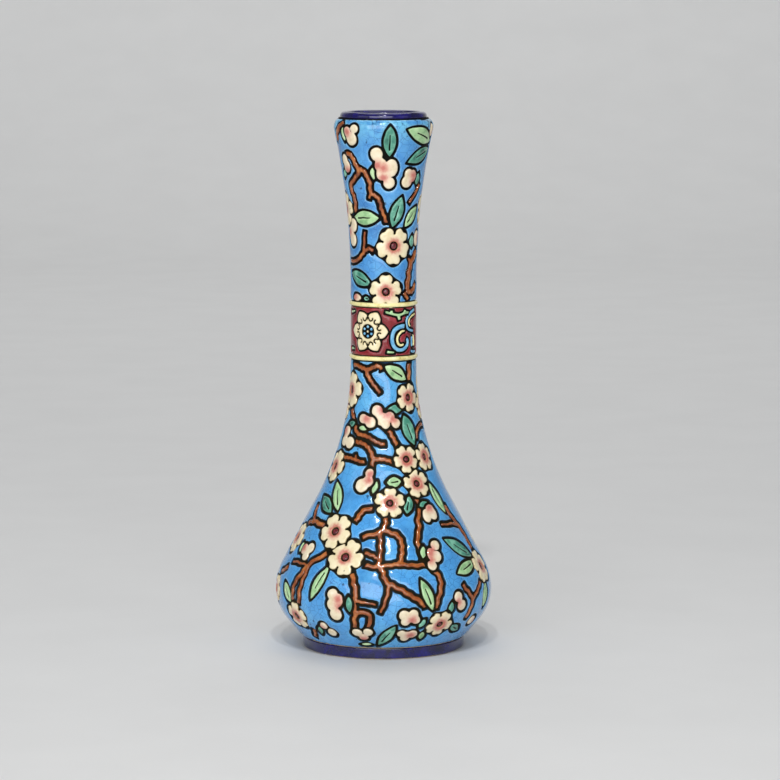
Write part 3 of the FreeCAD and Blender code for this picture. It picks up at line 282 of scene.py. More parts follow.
def outer_loops(node, halved=False):
    """Outlines of a node's outer faces, one list of loops per cell, as (angle, run) arrays."""
    keys, tris = outer_triangles(node, halved)
    find = joined(len(keys), tris)
    angle = np.arctan2(keys[:, 0], -keys[:, 1])
    run = run_at(keys[:, 2])
    cells = {}
    for loop in border_loops(tris):
        cells.setdefault(find(loop[0]), []).append(np.stack([np.unwrap(angle[loop]), run[loop]], 1))
    result = []
    for loops in cells.values():
        middle = loops[0][0, 0]
        moved = []
        for pts in loops:
            shift = np.round((middle - pts[0, 0]) / (2 * math.pi)) * 2 * math.pi
            moved.append(pts + [shift, 0])
        result.append(sorted(moved, key=lambda p: -abs(area(p))))
    return result


def area(loop):
    flat = np.stack([loop[:, 0] * radius_at(loop[:, 1].mean()), loop[:, 1]], 1)
    after = np.roll(flat, -1, 0)
    return 0.5 * (flat[:, 0] * after[:, 1] - after[:, 0] * flat[:, 1]).sum()


def lengths(before, after):
    """Distances in millimetres between points given as (angle, run)."""
    r = radius_at((before[:, 1] + after[:, 1]) / 2)
    return np.hypot((after[:, 0] - before[:, 0]) * r, after[:, 1] - before[:, 1])


def points_at(where, at, path):
    """Points of a path at the distances where; at holds the distance of each of the path's own points."""
    return np.stack([np.interp(where, at, path[:, 0]), np.interp(where, at, path[:, 1])], 1)


def hand_drawn(pts, amount):
    """Points moved sideways a little, as a hand would draw the line."""
    space = on_wall(pts[:, 0], pts[:, 1], 0)
    across = amount * wobble(space, WAVER_SCALE, 0) / radius_at(pts[:, 1])
    return pts + np.stack([across, amount * wobble(space, WAVER_SCALE, 1)], 1)


def even_loop(loop, spacing, rounds, waver):
    """The loop with even points, its corners rounded and a hand-drawn waver."""
    sides = lengths(loop, np.roll(loop, -1, 0))
    total = sides.sum()
    count = max(8, int(total / spacing))
    at = np.concatenate([[0], np.cumsum(sides)])
    pts = points_at(np.arange(count) * total / count, at, np.vstack([loop, loop[:1]]))
    for _ in range(rounds):
        pts = 0.5 * pts + 0.25 * (np.roll(pts, 1, 0) + np.roll(pts, -1, 0))
    return hand_drawn(pts, waver)


def even_stretch(path, spacing, rounds, waver):
    """As even_loop, for an open path: its two ends stay where they are, and the waver fades towards them."""
    at = np.concatenate([[0], np.cumsum(lengths(path[:-1], path[1:]))])
    where = np.linspace(0, at[-1], max(2, int(at[-1] / spacing)) + 1)
    pts = points_at(where, at, path)
    for _ in range(rounds):
        pts[1:-1] = 0.5 * pts[1:-1] + 0.25 * (pts[:-2] + pts[2:])
    fade = np.clip(np.minimum(where, at[-1] - where) / WAVER_FADE, 0, 1)
    return hand_drawn(pts, fade * waver)


def seam_stretch(seam, first, last, step):
    """Points on a seam from one run to another, at heights that are the same on both sides of the seam."""
    marks = np.arange(math.ceil(min(first, last) / step) + 1, math.floor(max(first, last) / step)) * step
    if last < first:
        marks = marks[::-1]
    runs = np.concatenate([[first], marks, [last]])
    return np.stack([np.full(len(runs), seam), runs], 1)


def free_loop(loop, spacing, rounds, waver):
    """An even loop and, for each point, that it isn't on a seam."""
    pts = even_loop(loop, spacing, rounds, waver)
    return pts, np.zeros(len(pts), bool)


def seam_loop(loop, spacing, rounds, waver):
    """As free_loop, but the stretches that lie on a seam stay straight and their points are flagged."""
    on_seam = np.abs(loop[:, :1] - SEAMS).min(1) < SEAM_WIDTH
    if not on_seam.any():
        return free_loop(loop, spacing, rounds, waver)
    stretches = []
    flags = []
    count = len(loop)
    start = int(np.argmax(on_seam & ~np.roll(on_seam, 1))) if not on_seam.all() else 0
    order = [(start + i) % count for i in range(count)]
    i = 0
    while i < count:
        j = i
        flag = on_seam[order[i]]
        while j < count and on_seam[order[j]] == flag:
            j += 1
        ids = order[i:j]
        if not flag:
            path = loop[[order[i - 1]] + ids + [order[j % count]]]
            stretch = even_stretch(path, spacing, rounds, waver)[1:-1]
        elif len(ids) == 1:
            stretch = loop[ids]
        else:
            seam = SEAMS[np.abs(SEAMS - loop[ids[0], 0]).argmin()]
            stretch = seam_stretch(seam, loop[ids[0], 1], loop[ids[-1], 1], spacing * SEAM_STEP)
        stretches.append(stretch)
        flags.append(np.full(len(stretch), flag))
        i = j
    return np.vstack(stretches), np.concatenate(flags)


def inside(points, loops):
    """Even-odd test of flat points against flat loops."""
    result = np.zeros(len(points), bool)
    starts = np.vstack(loops)
    ends = np.vstack([np.roll(loop, -1, 0) for loop in loops])
    for first in range(0, len(points), INSIDE_BATCH):
        batch = slice(first, first + INSIDE_BATCH)
        x = points[batch, 0][:, None]
        y = points[batch, 1][:, None]
        cross = (starts[:, 1] > y) != (ends[:, 1] > y)
        climb = ends[:, 1] - starts[:, 1]
        slope = (ends[:, 0] - starts[:, 0]) / np.where(climb == 0, 1, climb)
        hit = x < starts[:, 0] + slope * (y - starts[:, 1])
        result[batch] = (cross & hit).sum(1) % 2 == 1
    return result


def filled_tree(points):
    tree = KDTree(len(points))
    for i, p in enumerate(points):
        tree.insert(p, i)
    tree.balance()
    return tree


def flat_maps(middle):
    """Functions from (angle, run) to a flat map that keeps angles true round the middle, and back."""
    scale = float(radius_at(middle[1]))
    warp = np.concatenate([[0], np.cumsum(np.diff(RUN) / radius_at((RUN[1:] + RUN[:-1]) / 2))])

    def flatten(pts):
        return np.stack([(pts[:, 0] - middle[0]) * scale, np.interp(pts[:, 1], RUN, warp) * scale], 1)

    def unflatten(pts):
        return np.stack([pts[:, 0] / scale + middle[0], np.interp(pts[:, 1] / scale, warp, RUN)], 1)

    return flatten, unflatten


def edge_distance(loops, flags):
    """A function that gives the distances of points (angle, run) from the edges that aren't on a seam."""
    starts = np.vstack([on_wall(loop[:, 0], loop[:, 1], 0) for loop in loops])
    ends = np.vstack([on_wall(np.roll(loop[:, 0], -1), np.roll(loop[:, 1], -1), 0) for loop in loops])
    seam_side = np.concatenate(flags) & np.concatenate([np.roll(flag, -1) for flag in flags])
    tree = filled_tree(np.vstack([(starts + (ends - starts) * f)[~seam_side] for f in EDGE_PARTS]))

    def distance(pts):
        space = on_wall(pts[:, 0], pts[:, 1], 0)
        return np.array([tree.find(p)[2] for p in space])

    return distance


def beside(loop, offset):
    """Points on both sides of a loop, at a distance from it."""
    r = radius_at(loop[:, 1])
    ahead = np.roll(loop, -1, 0) - np.roll(loop, 1, 0)
    side = np.stack([-ahead[:, 1], ahead[:, 0] * r], 1)
    side /= np.linalg.norm(side, axis=1)[:, None] + 1e-9
    return [loop + np.stack([move * side[:, 0] / r, move * side[:, 1]], 1) for move in (offset, -offset)]


def staggered(border, spacing):
    """Rows of points over the whole extent of a border, every second row shifted by half a step."""
    low, high = border[:, 1].min(), border[:, 1].max()
    left, right = border[:, 0].min(), border[:, 0].max()
    rows = []
    run = low + spacing / 2
    odd = 0
    while run < high:
        step = spacing / float(radius_at(run))
        angles = np.arange(left + step * (0.5 + 0.5 * odd), right, step)
        rows.append(np.stack([angles, np.full(len(angles), run)], 1))
        run += spacing * ROW_PITCH
        odd = 1 - odd
    return rows


def thinned(points):
    """Points without those that lie too close to an earlier one."""
    space = on_wall(points[:, 0], points[:, 1], 0)
    tree = filled_tree(space)
    dropped = np.zeros(len(points), bool)
    for i, p in enumerate(space):
        if not dropped[i]:
            for _, j, _ in tree.find_range(p, CLOSEST):
                if j > i:
                    dropped[j] = True
    return points[~dropped]


def inner_points(loops, seam, spacing, flatten, distance):
    """Points inside a cell: two lines along its edge, for the round of the dome, and a staggered field."""
    border = np.vstack(loops)
    flat_loops = [flatten(loop) for loop in loops]
    candidates = []
    for offset in EDGE_LINES:
        for loop in loops:
            candidates += [(pts, offset * EDGE_SHARE) for pts in beside(loop, offset)]
    rows = staggered(border, spacing)
    if rows:
        candidates.append((np.vstack(rows), FIELD_FROM))
    chosen = [np.zeros((0, 2))]
    for pts, least in candidates:
        pts = pts[inside(flatten(pts), flat_loops)]
        if len(pts):
            keep = distance(pts) > least
            for value in np.unique(border[seam, 0]):
                keep &= np.abs(pts[:, 0] - value) * radius_at(pts[:, 1]) > CLEAR_OF_SEAM
            chosen.append(pts[keep])
    inner = np.vstack(chosen)
    return thinned(inner) if len(inner) else inner


def triangulated(loops, inner, flatten):
    """Flat points and triangles, all facing the same way, that fill the loops."""
    flat_loops = [flatten(loop) for loop in loops]
    sides = []
    first = 0
    for loop in loops:
        count = len(loop)
        sides += [(first + i, first + (i + 1) % count) for i in range(count)]
        first += count
    flat = flatten(np.vstack([*loops, inner]))
    verts, _, tris, _, _, _ = delaunay_2d_cdt([Vector(p) for p in flat], sides, [], 0, 1e-7)
    verts = np.array([tuple(v) for v in verts])
    tris = np.array([t for t in tris if len(t) == 3])
    tris = tris[inside(verts[tris].mean(1), flat_loops)]
    used = np.unique(tris)
    renumber = np.full(len(verts), -1)
    renumber[used] = np.arange(len(used))
    tris = renumber[tris]
    verts = verts[used]
    a, b, c = verts[tris[:, 0]], verts[tris[:, 1]], verts[tris[:, 2]]
    turn = (b[:, 0] - a[:, 0]) * (c[:, 1] - a[:, 1]) - (b[:, 1] - a[:, 1]) * (c[:, 0] - a[:, 0])
    tris[turn < 0] = tris[turn < 0][:, ::-1]
    return verts, tris


def enamel_cell(loops, flags, spacing, height, rim, swell):
    """Domed closed cell over loops of (angle, run): verts, faces and each vert's distance to the edge."""
    flatten, unflatten = flat_maps(loops[0].mean(0))
    distance = edge_distance(loops, flags)
    inner = inner_points(loops, np.concatenate(flags), spacing, flatten, distance)
    verts, tris = triangulated(loops, inner, flatten)
    place = unflatten(verts)
    gap = distance(place)
    gap[gap < ON_EDGE] = 0.0
    rise = np.sqrt(np.clip(1 - (1 - np.clip(gap / rim, 0, 1)) ** 2, 0, 1))
    broad = np.clip(gap / SWELL_WIDTH, 0, 1)
    space = on_wall(place[:, 0], place[:, 1], 0)
    tall = height * rise + swell * broad * (2 - broad) + UNEVEN * wobble(space, UNEVEN_SCALE, 2) * rise
    top = on_wall(place[:, 0], place[:, 1], ENAMEL + EDGE_SUNK - tall)
    base = on_wall(place[:, 0], place[:, 1], ENAMEL + BASE_SUNK)
    count = len(place)
    directed = dict.fromkeys(side for t in tris for side in sides_of(t))
    rims = [(p, q) for p, q in directed if (q, p) not in directed]
    faces = [tuple(t) for t in tris] + [tuple(t[::-1] + count) for t in tris]
    faces += [(q, p, p + count, q + count) for p, q in rims]
    return np.vstack([top, base]), faces, np.concatenate([gap, np.zeros(count)])


# ------------ enamel pieces

def close_seams(verts, faces, gaps, marks):
    """Join the two halves of a ground where they meet, and drop the walls between them."""
    renumber = np.arange(len(verts))
    seen = {}
    for i in np.flatnonzero(np.abs(verts[:, 1]) < WELD_REACH):
        key = (round(verts[i, 0] * WELD_GRID), round(verts[i, 2] * WELD_GRID))
        renumber[i] = seen.setdefault(key, i)
    moved = [tuple(renumber[i] for i in face) for face in faces]
    moved = [face for face in moved if len(set(face)) == len(face)]
    count = Counter(tuple(sorted(face)) for face in moved)
    moved = [face for face in moved if count[tuple(sorted(face))] == 1]
    used = np.unique(np.concatenate([np.array(face) for face in moved]))
    final = np.full(len(verts), -1)
    final[used] = np.arange(len(used))
    return verts[used], [tuple(final[i] for i in face) for face in moved], gaps[used], marks[used]


def enamel_piece(name, node, slot_name, spacing=0.5, height=0.6, rim=0.75, swell=0.1, waver=0.1,
                 rounds=3, step=0.3, seam=False):
    """All the enamel cells of a CAD node, each a dome with a random mark of its own for its tint.

    spacing and step are the mesh's distances inside and along an outline; height, rim and swell shape the
    dome; waver and rounds shape the outline; seam is for a ground that goes all the way round."""
    verts, faces, gaps, marks = [], [], [], []
    first = 0
    shape = seam_loop if seam else free_loop
    for loops in outer_loops(node, seam):
        shaped = [shape(loop, step, rounds, waver) for loop in loops if abs(area(loop)) >= SMALLEST_AREA]
        if not shaped:
            continue
        v, f, gap = enamel_cell(*zip(*shaped), spacing, height, rim, swell)
        verts.append(v)
        faces += [tuple(i + first for i in face) for face in f]
        gaps.append(gap)
        marks.append(np.full(len(v), rng.uniform(0, 1)))
        first += len(v)
    verts = np.vstack(verts)
    gaps = np.concatenate(gaps)
    marks = np.concatenate(marks)
    if seam:
        verts, faces, gaps, marks = close_seams(verts, faces, gaps, marks)
    return make_piece(name, verts, faces, slot_name, [node], {"rim": gaps, "cell": marks})


# ------------ materials

class Paint:
    """A node material under construction."""

    def __init__(self, name, roughness=0.12, coat=0.35):
        self.material = bpy.data.materials.new(name)
        self.material.use_nodes = True
        self.tree = self.material.node_tree
        self.tree.nodes.clear()
        out = self.tree.nodes.new("ShaderNodeOutputMaterial")
        self.shader = self.tree.nodes.new("ShaderNodeBsdfPrincipled")
        self.shader.inputs["Roughness"].default_value = roughness
        self.shader.inputs["Coat Weight"].default_value = coat
        self.shader.inputs["Coat Roughness"].default_value = 0.04
        self.shader.inputs["IOR"].default_value = 1.52
        self.link(self.shader.outputs[0], out.inputs[0])
        self.where = self.tree.nodes.new("ShaderNodeTexCoord").outputs["Object"]

    def link(self, source, target):
        self.tree.links.new(source, target)

    def attribute(self, name):
        node = self.tree.nodes.new("ShaderNodeAttribute")
        node.attribute_name = name
        return node.outputs["Fac"]

    def height(self):
        """Height above the table in metres."""
        node = self.tree.nodes.new("ShaderNodeSeparateXYZ")
        self.link(self.where, node.inputs[0])
        return node.outputs["Z"]

    def noise(self, size_mm, detail=3.0, rough=0.55, stretch=None, warp=0.0):
        """Noise with patches about size_mm across, 0 to 1."""
        node = self.tree.nodes.new("ShaderNodeTexNoise")
        node.inputs["Scale"].default_value = 1000.0 / size_mm
        node.inputs["Detail"].default_value = detail
        node.inputs["Roughness"].default_value = rough
        node.inputs["Distortion"].default_value = warp
        source = self.where
        if stretch:
            mapping = self.tree.nodes.new("ShaderNodeMapping")
            mapping.inputs["Scale"].default_value = stretch
            self.link(source, mapping.inputs["Vector"])
            source = mapping.outputs["Vector"]
        self.link(source, node.inputs["Vector"])
        return node.outputs["Fac"]

    def cracks(self, size_mm, width):
        """1 on the fine lines of a crackled glaze, 0 between them; noise bends the lines a little."""
        bend = self.tree.nodes.new("ShaderNodeTexNoise")
        bend.inputs["Scale"].default_value = 1000.0 / (size_mm * 0.9)
        bend.inputs["Detail"].default_value = 2.0
        self.link(self.where, bend.inputs["Vector"])
        mix = self.tree.nodes.new("ShaderNodeVectorMath")
        mix.operation = "MULTIPLY_ADD"
        mix.inputs[1].default_value = (size_mm * 0.0005,) * 3
        self.link(bend.outputs["Color"], mix.inputs[0])
        self.link(self.where, mix.inputs[2])
        cells = self.tree.nodes.new("ShaderNodeTexVoronoi")
        cells.feature = "DISTANCE_TO_EDGE"
        cells.inputs["Scale"].default_value = 1000.0 / size_mm
        self.link(mix.outputs[0], cells.inputs["Vector"])
        return self.ramp(cells.outputs["Distance"], [(0.0, 1.0), (width, 0.0)])

    def ramp(self, source, stops):
        """Ramp through stops of (place, grey level or web colour)."""
        node = self.tree.nodes.new("ShaderNodeValToRGB")
        node.color_ramp.interpolation = "EASE"
        elements = node.color_ramp.elements
        for i, (place, value) in enumerate(stops):
            element = elements[i] if i < 2 else elements.new(place)
            element.position = place
            element.color = rgba(value)
        self.link(source, node.inputs["Fac"])
        return node.outputs["Color"]

    def map(self, source, low, high, to_low=0.0, to_high=1.0):
        """The source's range from low to high brought smoothly to another range, and held beyond it."""
        node = self.tree.nodes.new("ShaderNodeMapRange")
        node.interpolation_type = "SMOOTHSTEP"
        for i, value in enumerate((low, high, to_low, to_high), 1):
            node.inputs[i].default_value = value
        self.link(source, node.inputs[0])
        return node.outputs[0]

    def below(self, source, full, none):
        """1 where the source is below full, 0 where it is above none."""
        return self.map(source, full, none, 1.0, 0.0)

    def math(self, kind, a, b):
        node = self.tree.nodes.new("ShaderNodeMath")
        node.operation = kind
        for i, value in enumerate((a, b)):
            if isinstance(value, (int, float)):
                node.inputs[i].default_value = value
            else:
                self.link(value, node.inputs[i])
        return node.outputs[0]

    def mix(self, factor, a, b):
        node = self.tree.nodes.new("ShaderNodeMix")
        node.data_type = "RGBA"
        self.link(factor, node.inputs[0])
        for socket, value in ((6, a), (7, b)):
            if isinstance(value, bpy.types.NodeSocket):
                self.link(value, node.inputs[socket])
            else:
                node.inputs[socket].default_value = rgba(value)
        return node.outputs[2]

    def over(self, colour, mask, amount, layer):
        """The colour with another laid over it where the mask is, as strongly as amount."""
        return self.mix(self.math("MULTIPLY", mask, amount), colour, layer)

    def ragged(self, distance, size_mm, detail, amount):
        """A distance whose contours noise has made ragged."""
        return self.math("ADD", distance, self.scaled(self.noise(size_mm, detail), amount))

    def scaled(self, fraction, amount):
        """A value between 0 and 1, centred on nought and then scaled."""
        return self.math("MULTIPLY", self.math("SUBTRACT", fraction, 0.5), amount)

    def finish(self, colour, bump=None, strength=0.3, bump_mm=0.1, dull=None):
        """The finished material; dull is a mask where the surface loses its gloss."""
        self.link(colour, self.shader.inputs["Base Color"])
        if dull is not None:
            self.link(self.map(dull, 0.0, 1.0, 0.5, 0.05), self.shader.inputs["Specular IOR Level"])
            self.link(self.map(dull, 0.0, 1.0, 0.35, 0.0), self.shader.inputs["Coat Weight"])
        if bump is not None:
            node = self.tree.nodes.new("ShaderNodeBump")
            node.inputs["Strength"].default_value = strength
            node.inputs["Distance"].default_value = bump_mm * 0.001
            self.link(bump, node.inputs["Height"])
            self.link(node.outputs[0], self.shader.inputs["Normal"])
        return self.material


def rgba(value):
    """A colour for a node, from a grey level, a linear (r, g, b) or a six-figure web colour."""
    if isinstance(value, float):
        value = (value, value, value)
    elif isinstance(value, str):
        web = [int(value[i:i + 2], 16) / 255 for i in (0, 2, 4)]
        value = [v / 12.92 if v <= 0.04045 else ((v + 0.055) / 1.055) ** 2.4 for v in web]
    return (*value, 1)


def glaze_bump(p):
    """Slow swells and fine pits of a fired glaze."""
    return p.math("ADD", p.math("MULTIPLY", p.noise(3.0, 2), 0.7), p.math("MULTIPLY", p.noise(0.6, 2), 0.12))


def specks(p, size_mm, most, least):
    """Sparse dark specks: 1 inside a speck."""
    return p.below(p.noise(size_mm, 1.5, 0.4), most, least)


def paint_blue():
    p = Paint("blue_enamel")
    rim = p.attribute("rim")
    broad = p.noise(16, 3, 0.6, warp=0.3)
    colour = p.ramp(broad, [(0.30, "2c74bc"), (0.50, "408ed6"), (0.72, "5eaae4")])
    patches = p.map(p.noise(7, 4, 0.6, stretch=(1, 1, 0.6)), 0.5, 0.75)
    colour = p.over(colour, patches, 0.45, "64b4ea")

    # Lighter over the shoulder, greyer on the neck, paler under the lip.
    height = p.height()
    shoulder = p.map(height, 0.066, 0.098, 0.55, 1.0)
    light_zone = p.math("MULTIPLY", shoulder, p.map(height, 0.137, 0.125))
    colour = p.over(colour, light_zone, 0.4, "66bce2")
    neck_zone = p.map(height, 0.15, 0.165)
    colour = p.over(colour, neck_zone, 0.25, "4e8cb2")
    top = p.map(height, 0.222, 0.238)
    top = p.math("MULTIPLY", top, p.map(p.noise(6, 3), 0.35, 0.6))
    colour = p.over(colour, top, 0.7, "7ccbe6")

    # Thin and pale towards the rims, and dark on the rims themselves, most of all on the neck.
    reach = p.ragged(rim, 2.5, 2, 0.9)
    wide = p.below(reach, 0.3, 1.4)
    colour = p.over(colour, wide, 0.3, "6cb4e4")
    thin = p.below(reach, 0.2, 0.7)
    colour = p.over(colour, thin, 0.32, "a0ccd8")
    body = p.map(height, 0.15, 0.085)
    inset = p.math("SUBTRACT", rim, p.math("MULTIPLY", body, 0.2))
    edge = p.below(inset, 0.12, 0.3)
    line = p.mix(body, "060706", "12120a")
    colour = p.over(colour, edge, 0.94, line)

    # Cobalt that has run down from the lip, crackle and specks.
    run_down = p.noise(2.6, 3, 0.6, stretch=(1, 1, 0.35))
    drip = p.math("MULTIPLY", p.map(run_down, 0.56, 0.66), p.map(height, 0.2325, 0.2372))
    colour = p.over(colour, drip, 0.85, "0a1030")
    cracks = p.math("MULTIPLY", p.cracks(2.8, 0.045), p.map(p.noise(18, 2), 0.3, 0.6, 0.3, 1.0))
    colour = p.over(colour, cracks, 0.62, "1a4684")
    spots = specks(p, 2.6, 0.24, 0.30)
    colour = p.over(colour, spots, 0.7, "10243c")
    return p.finish(colour, glaze_bump(p), strength=0.35, bump_mm=0.12, dull=edge)


def paint_band_red():
    p = Paint("red_enamel")
    rim = p.attribute("rim")
    broad = p.noise(5, 3)
    colour = p.ramp(broad, [(0.3, "5c060c"), (0.5, "7c0c16"), (0.7, "961e2a")])
    pool = p.map(p.noise(6, 2), 0.55, 0.72)
    colour = p.over(colour, pool, 0.35, "c8606c")
    thin = p.below(p.math("ADD", rim, p.math("MULTIPLY", p.noise(1.6, 2), 0.5)), 0.2, 0.75)
    colour = p.over(colour, thin, 0.35, "c86c78")
    edge = p.below(rim, 0.06, 0.22)
    colour = p.over(colour, edge, 0.85, "1c0608")
    return p.finish(colour, glaze_bump(p), strength=0.35)


def paint_petal():
    p = Paint("petal_enamel", roughness=0.16)
    rim = p.attribute("rim")
    heart = p.attribute("heart")
    colour = p.ramp(p.noise(3.5, 3), [(0.3, "dccda2"), (0.55, "e8dcb8"), (0.8, "f0e8cc")])
    colour = p.over(colour, p.attribute("cell"), 0.25, "efe0b4")
    ragged = p.ragged(heart, 1.4, 3, 2.4)
    blush = p.below(ragged, 2.6, 5.4)
    colour = p.over(colour, blush, 0.55, "d89a8a")
    core = p.below(ragged, 2.0, 4.2)
    colour = p.over(colour, core, 0.85, "b8524c")
    edge = p.below(rim, 0.04, 0.22)
    colour = p.over(colour, edge, 0.85, "3a2e18")
    warm = p.below(rim, 0.1, 0.7)
    colour = p.over(colour, warm, 0.22, "c8b070")
    spots = specks(p, 1.6, 0.22, 0.27)
    colour = p.over(colour, spots, 0.5, "7a5a34")
    return p.finish(colour, glaze_bump(p))


def paint_bud():
    p = Paint("bud_enamel", roughness=0.16)
    rim = p.attribute("rim")
    heart = p.attribute("heart")
    colour = p.ramp(p.noise(3.5, 3), [(0.3, "dccaa6"), (0.55, "e8dabc"), (0.8, "f0e6d0")])
    ragged = p.ragged(heart, 1.6, 3, 2.0)
    blush = p.below(ragged, 1.0, 4.2)
    colour = p.over(colour, blush, 0.7, "d69484")
    core = p.below(ragged, 0.3, 2.6)
    colour = p.over(colour, core, 0.8, "bc5c54")
    edge = p.below(rim, 0.04, 0.22)
    colour = p.over(colour, edge, 0.85, "3a2418")
    return p.finish(colour, glaze_bump(p))


def paint_centre():
    p = Paint("maroon_enamel")
    colour = p.ramp(p.noise(0.9, 2), [(0.3, "3a0810"), (0.6, "6e2028"), (0.8, "8c4a48")])
    return p.finish(colour, glaze_bump(p))


def paint_leaf(name, deep, mid, pale, edge_colour):
    p = Paint(name, roughness=0.14)
    rim = p.attribute("rim")
    broad = p.math("ADD", p.noise(4.5, 3), p.scaled(p.attribute("cell"), 0.2))
    colour = p.ramp(broad, [(0.28, deep), (0.5, mid), (0.72, pale)])
    flank = p.below(rim, 0.15, 0.9)
    colour = p.over(colour, flank, 0.4, pale)
    edge = p.below(rim, 0.04, 0.22)
    colour = p.over(colour, edge, 0.85, edge_colour)
    return p.finish(colour, glaze_bump(p))


def paint_branch():
    p = Paint("brown_enamel", roughness=0.14)
    rim = p.attribute("rim")
    colour = p.ramp(p.noise(5, 3), [(0.3, "6e3410"), (0.5, "964c18"), (0.72, "b86c30")])
    # Painted highlight: paler streaks along the middle of each twig, where light glints off its rounded
    # crest.
    highlight_streaks = p.map(p.noise(1.8, 3, stretch=(1, 1, 0.45)), 0.45, 0.7)
    crest = p.math("MULTIPLY", p.map(rim, 0.35, 0.95), highlight_streaks)
    colour = p.over(colour, crest, 0.55, "d08a48")
    # Painted shade: each twig darker brown towards its edges, where the dome turns away from the light. The
    # black line at the very edge is the print.
    low = p.below(rim, 0.05, 0.5)
    colour = p.over(colour, low, 0.6, "5a2206")
    edge = p.below(rim, 0.0, 0.14)
    colour = p.over(colour, edge, 0.7, "160c06")
    return p.finish(colour, glaze_bump(p), strength=0.35)


def paint_print():
    p = Paint("outline_print", roughness=0.5, coat=0.0)
    p.shader.inputs["Specular IOR Level"].default_value = 0.06
    low = p.map(p.height(), 0.15, 0.085)
    worn = p.math("MULTIPLY", low, p.map(p.noise(2.2, 3), 0.3, 0.65, 0.35, 1.0))
    colour = p.ramp(p.noise(1.5, 3), [(0.3, "070605"), (0.6, "0e0c08"), (0.85, "1c180e")])
    colour = p.over(colour, worn, 0.75, "24200f")
    return p.finish(colour, bump=p.noise(0.5, 3), strength=0.4, bump_mm=0.08)


def paint_cream():
    p = Paint("cream_enamel", roughness=0.14)
    colour = p.ramp(p.noise(4, 3), [(0.25, "d2c078"), (0.5, "ece2a0"), (0.75, "f6f0c4")])
    thin = p.map(p.noise(1.6, 3), 0.60, 0.72)
    colour = p.over(colour, thin, 0.5, "9c8444")
    return p.finish(colour, glaze_bump(p))


def paint_pale_blue():
    p = Paint("pale_blue_enamel", roughness=0.14)
    rim = p.attribute("rim")
    colour = p.ramp(p.noise(3, 3), [(0.3, "4a94c8"), (0.55, "74b6da"), (0.8, "9ccfe6")])
    edge = p.below(rim, 0.0, 0.14)
    colour = p.over(colour, edge, 0.7, "142834")
    return p.finish(colour, glaze_bump(p))


def paint_cobalt():
    p = Paint("cobalt_glaze", roughness=0.1, coat=0.5)
    colour = p.ramp(p.noise(5, 3, 0.6), [(0.28, "050328"), (0.5, "0b064c"), (0.75, "170e74")])
    thin = p.map(p.noise(1.8, 3), 0.62, 0.74)
    colour = p.over(colour, thin, 0.35, "2c2890")
    return p.finish(colour, glaze_bump(p), strength=0.35, bump_mm=0.12)


def paint_clay():
    p = Paint("bare_faience", roughness=0.75, coat=0.0)
    colour = p.ramp(p.noise(3, 4), [(0.3, "c0a882"), (0.55, "d6c4a2"), (0.8, "e2d6ba")])
    grit = specks(p, 0.9, 0.28, 0.36)
    colour = p.over(colour, grit, 0.6, "7c6446")
    return p.finish(colour, bump=p.noise(0.5, 4), strength=0.6)


def paint_clear():
    p = Paint("clear_glaze", roughness=0.14)
    colour = p.ramp(p.noise(12, 3), [(0.3, "c6bfa4"), (0.6, "ddd8c2"), (0.8, "e8e4d4")])
    cracks = p.cracks(4.5, 0.018)
    colour = p.over(colour, cracks, 0.35, "8a7a58")
    return p.finish(colour, glaze_bump(p))


MATERIALS = {
    "blue_enamel": paint_blue(),
    "red_enamel": paint_band_red(),
    "petal_enamel": paint_petal(),
    "bud_enamel": paint_bud(),
    "maroon_enamel": paint_centre(),
    "light_green_enamel": paint_leaf("light_green_enamel", "74a46e", "a2cc94", "c0dcaa", "141c10"),
    "teal_enamel": paint_leaf("teal_enamel", "1e564a", "448c76", "7cbca2", "08120e"),
    "brown_enamel": paint_branch(),
    "outline_print": paint_print(),
    "cream_enamel": paint_cream(),
    "pale_blue_enamel": paint_pale_blue(),
    "cobalt_glaze": paint_cobalt(),
    "bare_faience": paint_clay(),
    "clear_glaze": paint_clear(),
}

# ------------ turned pieces

AXIS_R = 0.4                                 # turned sections stop this far short of the axis
PRINT_BOTTOM = ENAMEL_BOTTOM - 0.3
SHELF_R, SHELF_Z = 18.9, 237.45              # the ledge under the lip, where the print ends
FOOT_R = 36.5
CLAY_FOOT_R = FOOT_R - ENAMEL
STAND_IN, STAND_OUT, STAND_ROUND = 32.9, 35.2, 0.4    # the ring that the vase stands on
WALL, INSIDE_LOW, INSIDE_HIGH = 4.2, 12.0, 226.0      # thickness and inside ends of the even part of the wall
FLOOR_TOP, FLOOR_UNDER = 8.0, 3.0
HOLLOW_R = 31.0                              # the inside floor and the hollow under it
MOUTH_R, MOUTH_Z = 16.05, 236.3              # where the inside glaze ends
LIP_GLAZE = 0.7
OVERLAP = 0.05                               # how far a glaze reaches into what carries it


def wall_profile(depth, low, high, count):
    """Points of the wall at a depth between two heights, from low to high."""
    runs = np.linspace(run_at(low), run_at(high), count)
    return [(along(0, s) - depth * along(2, s), along(1, s) - depth * along(3, s)) for s in runs]


def arc_points(r, z, radius, first, last, count):
    return [(r + radius * math.cos(a), z + radius * math.sin(a))
            for a in np.radians(np.linspace(first, last, count))]


def soft_ripple(amount, scale):
    """A function that moves points in and out, and up and down, as a fired glaze does."""
    def move(verts):
        out = verts.copy()
        r = np.hypot(verts[:, 0], verts[:, 1])
        push = 1 + amount * wobble(verts, scale, 0) / np.maximum(r, 1)
        out[:, 0] *= push
        out[:, 1] *= push
        out[:, 2] += amount * 0.6 * wobble(verts, scale, 1)
        return out
    return move


def turned(name, profile, slot_name, node, segments=240, ripple=None):
    """A turned piece that stands for one node."""
    verts, faces = lathe(profile, segments, ripple)
    make_piece(name, verts, faces, slot_name, [node])


